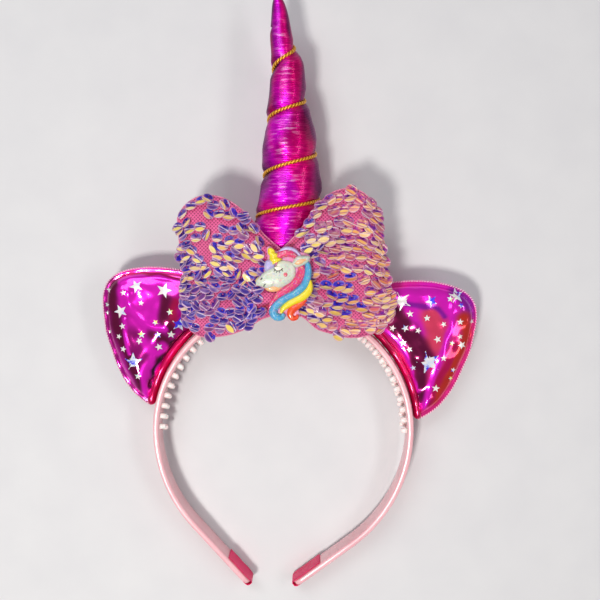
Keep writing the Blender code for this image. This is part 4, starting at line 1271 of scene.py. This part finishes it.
def bow_top():
    """Height of the bow's front at its middle, over the horn."""
    return horn_front(0.0, BOW_MIDDLE[1]) + FIT_GAP + BOW_THICKNESS


def round_edge(grid):
    """Values along the four edges of a grid, in one loop."""
    return np.concatenate((grid[:, 0], grid[-1, 1:], grid[::-1, -1][1:], grid[0, ::-1][1:]))


def build_bow():
    """Front and back sheets over both wings, rounded at the rim and closed at both ends."""
    rows = BOW_STEPS
    left, right = (wing_grid(side, BOW_STEPS, rows, BOW_INSET) for side in SIDES)
    grid = np.concatenate((left[:0:-1], right))
    row_share = np.broadcast_to(np.linspace(0.0, 1.0, rows), grid.shape[:2])
    rim = round_edge(grid)
    away = clamp(distance_to(grid, rim[::2]) / BOW_SEAM)
    back, front = bow_surface(grid, away, row_share)
    middle = (back + front) / 2
    rounded = np.sqrt(1 - (1 - clamp(away * BOW_SEAM / BOW_RIM_RADIUS)) ** 2 * 0.96)
    half = (front - back) / 2 * rounded
    points = np.concatenate((with_z(grid, middle + half), with_z(grid, middle - half)[:, ::-1]), 1)
    around = 2 * rows
    faces = grid_quads(len(points), around, True).tolist()
    for row in (0, len(points) - 1):
        base = row * around
        strip = [[base + k, base + k + 1, base + around - 2 - k, base + around - 1 - k]
                 for k in range(rows - 1)]
        faces += [face if row == 0 else face[::-1] for face in strip]
    x = grid[..., 0]
    # Depth of the gathers' low folds near the middle, for the painted shade in them.
    low = clamp(-bow_fold(x, row_share) / BOW_CREASE_DEPTH) * fade(x, BOW_CREASE_REACH)
    bow = make_piece("bow_cloth", points, facing_out(points, faces), mesh_cloth_finish(),
                     values={"crease": np.concatenate((low, low[:, ::-1]), 1)},
                     uv=np.concatenate((grid, grid[:, ::-1]), 1))
    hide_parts("bow")
    build_seam(with_z(rim, round_edge(middle)))
    for side in SIDES:
        build_sequins(side)


def build_seam(rim):
    """Folded edge: a thin thread-like roll along the bow's outline."""
    path = at_length(np.linspace(0.0, length_along(rim[:-1])[-1], 620), rim[:-1])
    smooth = path.copy()
    smooth[1:-1] = (path[:-2] + path[1:-1] + path[2:]) / 3
    points = tube_along(smooth, BOW_ROLL_RADIUS, 10, lobes=3, lobe_depth=0.10, twist=2400.0)
    material = thread_finish("pink edge", (0.66, 0.10, 0.26), (0.86, 0.32, 0.46))
    tube_piece("bow_edge", points, material)


def wing_point(grid, u, v):
    """Read a wing's grid at shares u outward and v upward, by straight interpolation."""
    columns, rows = grid.shape[:2]
    a, b = u * (columns - 1), v * (rows - 1)
    i = np.clip(np.floor(a).astype(int), 0, columns - 2)
    j = np.clip(np.floor(b).astype(int), 0, rows - 2)
    s, t = (a - i)[..., None], (b - j)[..., None]
    return ((1 - s) * (1 - t) * grid[i, j] + s * (1 - t) * grid[i + 1, j]
            + (1 - s) * t * grid[i, j + 1] + s * t * grid[i + 1, j + 1])


def sequin_shape():
    """Flat disc of rings of radius 1 round a small hole near its top; x runs along the crease."""
    rings = np.array((0.14, 0.46, 0.75, 0.94, 1.0))[:, None]
    hole = np.array((0.0, 0.62))
    flat = hole * (1 - rings)[..., None] + rings[..., None] * heading(full_turn(18))
    rim = np.broadcast_to(clamp((rings - 0.90) / 0.1), flat.shape[:2])
    return flat.reshape(-1, 2), rim.ravel(), grid_quads(len(rings), 18, True)


def in_patch(place, x, y, across, up):
    """True inside an ellipse of the bow, given in millimetres."""
    return np.linalg.norm((place[:, :2] * 1000 - (x, y)) / (across, up), axis=1) < 1.0


def sequin_places(side, grid, rng, lost):
    """Shares outward and upward of the strays and the staggered rows, their places, and how many
    strays there are. Some of the rows' sequins are lost all over, and more in the thin patches.
    """
    spots = list(STRAY_SEQUINS[side])
    strays = len(spots)
    inner, outer = SEQUIN_SPAN
    for row in range(SEQUIN_ROWS):
        shift = 0.5 * (row % 2)
        for column in range(SEQUIN_COLUMNS):
            u = column + 0.45 + shift + rng.uniform(-SEQUIN_JITTER, SEQUIN_JITTER)
            v = row + 0.45 + rng.uniform(-SEQUIN_JITTER, SEQUIN_JITTER)
            u, v = 0.95 * u / (SEQUIN_COLUMNS + 0.2), 0.045 + 0.935 * v / (SEQUIN_ROWS - 0.1)
            if rng.uniform() > lost and inner < u < outer:
                spots.append((u, v))
    spots = np.array(spots)
    place = wing_point(grid, *spots.T)
    kept = np.ones(len(spots), bool)
    for *patch, share in THIN_PATCHES[side]:
        kept &= ~(in_patch(place, *patch) & (rng.uniform(0.0, 1.0, len(spots)) < share))
    kept[:strays] = True
    return spots[kept], place[kept], strays


def sequin_axes(side, grid, spots):
    """Directions outward, upward and off the cloth at each sequin; outward leans towards x."""
    u, v = spots.T
    step = SEQUIN_STEP_ASIDE
    ahead = unit(SIDES[side] * (wing_point(grid, u + step, v) - wing_point(grid, u - step, v)))
    above = unit(wing_point(grid, u, v + step) - wing_point(grid, u, v - step))
    normal = unit(np.cross(ahead, above))
    above = unit(np.cross(normal, unit(0.55 * ahead + 0.45 * np.array((1.0, 0.0, 0.0)))))
    return np.cross(above, normal), above, normal


def build_sequins(side):
    """Rows of creased flakes, shingled so that each lower edge stands over the next row."""
    left = side == "left"
    seed, lost, turn, flatter, larger = SEQUIN_LAYING[side]
    rng = np.random.default_rng(seed)
    steps = SEQUIN_GRID_STEPS
    grid = wing_grid(side, steps, steps, BOW_INSET * 0.6)
    tops = wing_grid(side, steps, steps, BOW_INSET)
    rim = np.concatenate((tops[:, 0], tops[-1, 1:], tops[::-1, -1][1:]))
    row_share = np.broadcast_to(np.linspace(0.0, 1.0, steps), grid.shape[:2])
    away = clamp(distance_to(grid, rim[::2]) / BOW_SEAM)
    grid = with_z(grid, bow_surface(grid, away, row_share)[1])
    spots, place, strays = sequin_places(side, grid, rng, lost)
    count = len(spots)
    ahead, above, normal = sequin_axes(side, grid, spots)
    spin = rng.normal(0.0, turn, count)[:, None]
    ahead, above = (np.cos(spin) * ahead + np.sin(spin) * above,
                    np.cos(spin) * above - np.sin(spin) * ahead)

    flat, rim_value, faces = sequin_shape()
    crease = rng.normal(-0.05, 0.16, count)[:, None]
    bend = rng.uniform(0.55, 0.95, count) - flatter
    blue = in_patch(place, *BLUE_PATCH)
    sharp = blue | in_patch(place, *CHARM_PATCH)
    bend = np.where(sharp, rng.uniform(0.95, 1.20, count), bend)[:, None]
    lift = rng.uniform(0.06, 0.22, count)[:, None]
    lift[:strays] += 0.25
    size = SEQUIN_RADIUS * rng.uniform(0.86, 1.00, count) * larger * np.where(blue, 1.12, 1.0)
    x, y = np.broadcast_to(flat.T[:, None], (2, count, len(flat)))
    below, over = np.maximum(crease - y, 0.0), np.maximum(y - crease, 0.0)
    y_bent = crease + 0.92 * over - np.cos(bend) * below
    z = 0.75 * below * np.sin(bend) - 0.16 * over * over
    z = z + lift * (1 - y) * 0.55 + 0.06 * x * x + 0.10
    points = place[:, None] + size[:, None, None] * (
        x[..., None] * ahead[:, None] + y_bent[..., None] * above[:, None]
        + z[..., None] * normal[:, None])
    joined = (faces + len(flat) * np.arange(count)[:, None, None]).reshape(-1, 4)

    tint = rng.uniform(0.0, 1.0, count)
    if left:
        low = rng.uniform(0.0, 1.0, count) > 0.12
        tint *= np.where(low, np.clip(0.10 + 1.7 * (spots[:, 1] - 0.28), 0.10, 1.0), 1.0)
    warm_place = 0.0 if left else clamp((np.abs(place[:, 0]) - 0.012) / 0.02)
    warmth = clamp(warm_place * 0.85 + rng.normal(0.0, 0.22, count)) * (0.5 if left else 1.0)
    deep = 1.0 * (blue & (rng.uniform(0.0, 1.0, count) < 0.9))
    if left:
        deep = 0.8 * (rng.uniform(0.0, 1.0, count) < 0.25)
    values = {"rim": np.tile(rim_value, count)}
    for key, value in (("tint", tint), ("warmth", warmth), ("deep", deep)):
        values[key] = np.repeat(value, len(flat))
    piece = make_piece("bow_sequins_" + side, points, joined.tolist(), sequin_material,
                       values, np.stack((x, y - crease), -1))
    wall = piece.modifiers.new("thickness", "SOLIDIFY")
    wall.thickness = SEQUIN_THICKNESS
    wall.offset = 0.0


# Charm

def charm_place(shares):
    """Turn shares of the charm's width and height into places in the band's plane."""
    return np.asarray(shares, float) * (CHARM_WIDTH, CHARM_HEIGHT) + BOW_MIDDLE


def dome(name, outline, centre, base, height, power, material, count=90):
    """Domed plate: rings scaled about its centre, z = base + height * (1 - r ** power) ** 0.5."""
    line = charm_place(smooth_line(tuple(outline) + (outline[0],), count + 1)[:-1])
    middle = charm_place(centre)
    r = np.concatenate((np.linspace(0.04, 0.9, 16), np.linspace(0.92, 1.0, 7), (1.0, 0.05)))
    z = base + height * np.sqrt(clamp(1 - r ** power))
    z[-2:] = base - DOME_FOOT
    points = with_z(middle + (line - middle) * r[:, None, None], z[:, None])
    return tube_piece(name, points, material)


def strand(name, path, widths, base, height, material):
    """Half-round lock of hair: width follows a table along the path, height follows the width."""
    line = charm_place(smooth_line(path, 90))
    half = smooth_line(np.array(widths)[:, None] * MM, 90)
    tangent = unit(np.gradient(line, axis=0))
    side = left_of(tangent)
    phi = full_turn(18)
    rise = np.where(np.sin(phi) > 0, height, 0.0005) * np.sin(phi)
    flat = line[:, None] + (half * np.cos(phi))[..., None] * side[:, None]
    tube_piece(name, with_z(flat, base + rise * np.sqrt(half / half.max())), material)


# Resins: main colour, second colour, share of glitter.
CHARM_FINISHES = {
    "white": ((0.71, 0.74, 0.61), (0.62, 0.69, 0.58), 0.32),
    "pink": ((0.84, 0.06, 0.20), (0.66, 0.025, 0.15), 0.34),
    "blue": ((0.05, 0.33, 0.60), (0.10, 0.43, 0.68), 0.28),
    "yellow": ((0.86, 0.78, 0.02), (0.90, 0.68, 0.012), 0.05),
    "red": ((0.84, 0.035, 0.006), (0.90, 0.11, 0.010), 0.06),
    "orange": ((0.88, 0.42, 0.16), (0.92, 0.54, 0.28), 0.12),
    "lilac": ((0.46, 0.42, 0.74), (0.60, 0.52, 0.78), 0.20),
    "cream": ((0.90, 0.84, 0.66), (0.94, 0.90, 0.76), 0.05),
    "dark_print_and_crease_shade": ((0.06, 0.04, 0.04), (0.09, 0.06, 0.05), 0.0),
    "coral": ((0.74, 0.10, 0.16), (0.80, 0.16, 0.20), 0.0),
    "rose": ((0.80, 0.30, 0.46), (0.72, 0.26, 0.52), 0.2),
}

# Locks of hair: finish, height, places along it in shares of the charm, half widths in millimetres.
CHARM_STRANDS = {
    "mane_red": ("red", 0.0016,
                 ((0.43, -0.24), (0.33, -0.30), (0.21, -0.36), (0.155, -0.43), (0.19, -0.49),
                  (0.26, -0.485), (0.285, -0.445)),
                 (0.7, 1.4, 1.8, 1.6, 1.3, 1.0, 0.6)),
    "mane_yellow": ("yellow", 0.0021,
                    ((0.49, 0.03), (0.495, -0.05), (0.455, -0.13), (0.35, -0.205), (0.18, -0.272),
                     (0.05, -0.345), (-0.01, -0.42)),
                    (0.7, 1.4, 1.9, 2.0, 1.8, 1.4, 0.7)),
    "mane_blue": ("blue", 0.0022,
                  ((0.42, 0.30), (0.460, 0.22), (0.455, 0.095), (0.40, -0.035), (0.256, -0.145),
                   (0.06, -0.225), (-0.075, -0.31), (-0.14, -0.39), (-0.10, -0.465),
                   (0.00, -0.480), (0.05, -0.43)),
                  (0.6, 1.4, 1.8, 1.9, 1.9, 1.9, 1.9, 2.0, 1.9, 1.5, 0.9)),
    "mane_pink": ("pink", 0.0018,
                  ((0.33, 0.25), (0.355, 0.17), (0.325, 0.08), (0.22, -0.03), (0.056, -0.125),
                   (-0.083, -0.20), (-0.176, -0.295), (-0.215, -0.38)),
                  (1.0, 1.8, 2.1, 2.0, 1.8, 1.5, 0.9, 0.4)),
    "forelock_lilac": ("lilac", 0.0016,
                       ((-0.06, 0.37), (0.01, 0.425), (0.10, 0.450), (0.23, 0.430), (0.34, 0.345)),
                       (0.4, 0.9, 1.1, 0.9, 0.5)),
    "forelock": ("pink", 0.0021,
                 ((-0.085, 0.25), (-0.065, 0.33), (0.03, 0.385), (0.15, 0.390), (0.26, 0.335)),
                 (0.8, 1.5, 1.9, 1.8, 0.9)),
}

# Domed parts: finish, outline and centre in shares of the charm, foot above the back, height, power.
CHARM_DOMES = {
    "head": ("white", ((-0.436, -0.045), (-0.435, 0.016), (-0.358, 0.090), (-0.290, 0.140),
                       (-0.158, 0.196), (-0.085, 0.225), (-0.055, 0.280), (0.030, 0.300),
                       (0.180, 0.270), (0.245, 0.190), (0.245, 0.095), (0.185, 0.010),
                       (0.075, -0.050), (-0.036, -0.081), (-0.144, -0.066), (-0.205, -0.087),
                       (-0.298, -0.078), (-0.360, -0.060)),
             (-0.08, 0.09), 0.00084, 0.0024, 3.0),
    "chin": ("orange", ((-0.30, -0.06), (-0.16, -0.03), (0.02, -0.05), (-0.04, -0.115),
                        (-0.16, -0.135), (-0.26, -0.11)), (-0.14, -0.08), 0.0007, 0.0013, 2.5),
    "ear": ("white", ((0.180, 0.255), (0.257, 0.345), (0.364, 0.360), (0.495, 0.345),
                      (0.456, 0.268), (0.348, 0.216), (0.256, 0.200)),
            (0.33, 0.285), 0.0014, 0.0022, 3.0),
    "ear_inside": ("orange", ((0.226, 0.250), (0.287, 0.308), (0.375, 0.322), (0.440, 0.312),
                              (0.365, 0.256), (0.285, 0.234)), (0.33, 0.280), 0.0031, 0.0008, 2.5),
    "tuft": ("lilac", ((-0.300, 0.215), (-0.260, 0.290), (-0.175, 0.305), (-0.105, 0.255),
                       (-0.130, 0.195), (-0.270, 0.150)), (-0.20, 0.23), 0.0009, 0.0020, 2.5),
    "lid": ("cream", ((-0.122, 0.190), (-0.075, 0.160), (-0.027, 0.158), (0.028, 0.190),
                      (0.000, 0.208), (-0.050, 0.216), (-0.100, 0.208)),
            (-0.047, 0.188), 0.0029, 0.0005, 2.5),
}

# Raised dark lines: places in shares of the charm, half thickness and drop below the head's top in
# millimetres.
CHARM_MARKS = {
    "eye": (((-0.122, 0.188), (-0.075, 0.158), (-0.027, 0.156), (0.030, 0.188)), 0.18, -0.05),
    "lash_1": (((-0.100, 0.170), (-0.125, 0.146)), 0.14, 0.0),
    "lash_2": (((-0.065, 0.158), (-0.080, 0.130)), 0.14, 0.0),
    "lash_3": (((-0.025, 0.156), (-0.028, 0.128)), 0.14, 0.0),
    "lash_4": (((0.012, 0.172), (0.034, 0.148)), 0.14, 0.0),
    "nostril": (((-0.350, 0.036), (-0.320, 0.060)), 0.30, 0.55),
    "mouth": (((-0.300, -0.060), (-0.280, -0.030), (-0.220, -0.004)), 0.22, 0.65),
}

# Foot and tip of the charm's horn, and the cheek's middle and reach, in shares of the charm.
CHARM_HORN = ((-0.075, 0.27), (-0.205, 0.465))
CHARM_HORN_RADIUS, CHARM_HORN_TAPER, CHARM_HORN_TWIST = 0.0026, 0.60, 1150.0
CHEEK_MIDDLE, CHEEK_REACH = (0.075, 0.105), (0.038, 0.030)

# Outline of the back plate in shares of the charm.
CHARM_PLATE = (
    (-0.44, -0.02), (-0.33, 0.10), (-0.28, 0.20), (-0.24, 0.31), (-0.25, 0.460), (-0.17, 0.480),
    (-0.08, 0.42), (0.10, 0.475), (0.28, 0.42), (0.49, 0.36), (0.49, 0.20), (0.49, 0.00),
    (0.49, -0.12), (0.45, -0.25), (0.30, -0.36), (0.32, -0.45), (0.24, -0.50), (0.12, -0.46),
    (0.06, -0.485), (-0.08, -0.490), (-0.19, -0.43), (-0.20, -0.31), (-0.12, -0.20),
    (-0.10, -0.11), (-0.30, -0.09),
)


def build_charm():
    """Back plate, half-round locks, domed head, ear and tuft, a spiral horn and dark marks."""
    base = bow_top() + FIT_GAP
    resins = {key: resin_finish(key + " resin", *tones) for key, tones in CHARM_FINISHES.items()}
    lift = base + CHARM_BACK * 0.5
    for name, (tone, height, path, widths) in CHARM_STRANDS.items():
        strand("charm_" + name, path, widths, lift, height, resins[tone])
    for name, (tone, outline, centre, foot, height, power) in CHARM_DOMES.items():
        dome("charm_" + name, outline, centre, base + foot, height, power, resins[tone])

    s = np.linspace(0.0, 1.0, 90)
    start, end = charm_place(CHARM_HORN)
    path = with_z(start + (end - start) * s[:, None], lift + 0.0008)
    girth = CHARM_HORN_RADIUS * (1 - CHARM_HORN_TAPER * s) * quarter_round((s - 0.88) / 0.12, 0.03)
    points = tube_along(path, girth, 24, 2, 0.13, CHARM_HORN_TWIST, flat=0.8)
    tube_piece("charm_horn", points, resins["yellow"])

    top = base + sum(CHARM_DOMES["head"][3:5])
    for name, (shares, thick, drop) in CHARM_MARKS.items():
        path = with_z(charm_place(smooth_line(shares, 12)), top - drop * MM)
        tube_piece("charm_" + name, tube_along(path, thick * MM, 8), resins["dark_print_and_crease_shade"])
    spot = CHEEK_MIDDLE + heading(full_turn(12)) * CHEEK_REACH
    dome("charm_cheek", tuple(map(tuple, spot)), CHEEK_MIDDLE, top - 0.0003, 0.0005, 2.0,
         resins["coral"], count=30)
    backing = dome("charm_backing", CHARM_PLATE, (0.08, 0.08), base + 0.0001, CHARM_BACK * 0.55,
                   10.0, resins["rose"], count=160)
    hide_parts("unicorn_charm")


# Floor, light and camera

FLOOR_HALF_SIDE = 3.0
SKY_COLOUR, SKY_STRENGTH = (0.85, 0.85, 0.90, 1.0), 0.22

# Soft lamps: place, target, size, power and colour.
LAMPS = {
    "key": ((-0.20, -0.32, 0.76), (0.0, 0.0, 0.0), (0.13, 0.13), 4.5, (1.0, 0.97, 0.94)),
    "softbox": ((-0.30, 0.42, 0.72), (0.0, 0.02, 0.0), (0.60, 0.34), 2.6, (0.97, 0.97, 1.0)),
    "strip": ((0.52, 0.02, 0.60), (0.0, 0.0, 0.0), (0.14, 0.60), 1.2, (1.0, 0.96, 0.98)),
}

# Camera: half the frame, focal length and where it looks straight down, in pixels of the frame,
# and its place from the arch's centre in metres.
HALF_FRAME = 300.0
FOCAL_PIXELS = 700.0
STRAIGHT_DOWN = (8.0, 16.0)
ABOVE_ARCH = (0.01197, 0.07055, 0.3394)


def aim(item, place, away, upright):
    """Stand an item at a place so that its z runs along away and its y near upright."""
    away = unit(np.array(away))
    right = unit(np.cross(upright, away))
    up = np.cross(away, right)
    item.matrix_world = Matrix([[right[k], up[k], away[k], place[k]] for k in range(3)]
                               + [[0, 0, 0, 1]])
    bpy.context.scene.collection.objects.link(item)


def build_stage():
    """Plain pale floor under soft light."""
    side = FLOOR_HALF_SIDE
    mesh = bpy.data.meshes.new("floor")
    mesh.from_pydata([(-side, -side, 0.0), (side, -side, 0.0), (side, side, 0.0),
                      (-side, side, 0.0)], [], [(0, 1, 2, 3)])
    n = Finish("pale floor", {"Roughness": 0.75})
    n.feed("Base Color", n.tones(n.noise(n.place(), 40.0, 3.0), (0.68, 0.68, 0.685),
                                 (0.71, 0.71, 0.71)))
    mesh.materials.append(n.material)
    floor = bpy.data.objects.new("floor", mesh)
    bpy.context.scene.collection.objects.link(floor)

    for name, (place, target, size, power, colour) in LAMPS.items():
        light = bpy.data.lights.new(name, "AREA")
        light.shape = "RECTANGLE"
        light.size, light.size_y = size
        light.energy = power
        light.color = colour
        lamp = bpy.data.objects.new(name, light)
        aim(lamp, place, np.array(place) - target, (0.0, 1.0, 0.01))

    world = bpy.data.worlds.new("studio")
    world.use_nodes = True
    background = world.node_tree.nodes["Background"].inputs
    background["Color"].default_value = SKY_COLOUR
    background["Strength"].default_value = SKY_STRENGTH
    bpy.context.scene.world = world


def build_camera():
    """Camera above the headband, at the photograph's viewing angle and distance."""
    sideways, along = STRAIGHT_DOWN
    data = bpy.data.cameras.new("camera")
    data.sensor_width = 36.0
    data.lens = FOCAL_PIXELS * data.sensor_width / (2 * HALF_FRAME)
    data.clip_start = 0.01
    camera = bpy.data.objects.new("camera", data)
    aim(camera, REST_PLACE + ABOVE_ARCH, (sideways / FOCAL_PIXELS, along / FOCAL_PIXELS, 1.0),
        (0.0, 1.0, 0.0))
    bpy.context.scene.camera = camera


foil_material = foil_finish()
star_material = star_finish()
stitch_material = thread_finish("pale pink thread", (0.85, 0.36, 0.55), (0.98, 0.72, 0.80))
sequin_material = sequin_finish()
build_camera()
build_stage()
build_band()
build_teeth()
build_ribbon()
for ear_side in SIDES:
    build_ear(ear_side)
build_horn()
build_horn_cord()
build_bow()
build_charm()
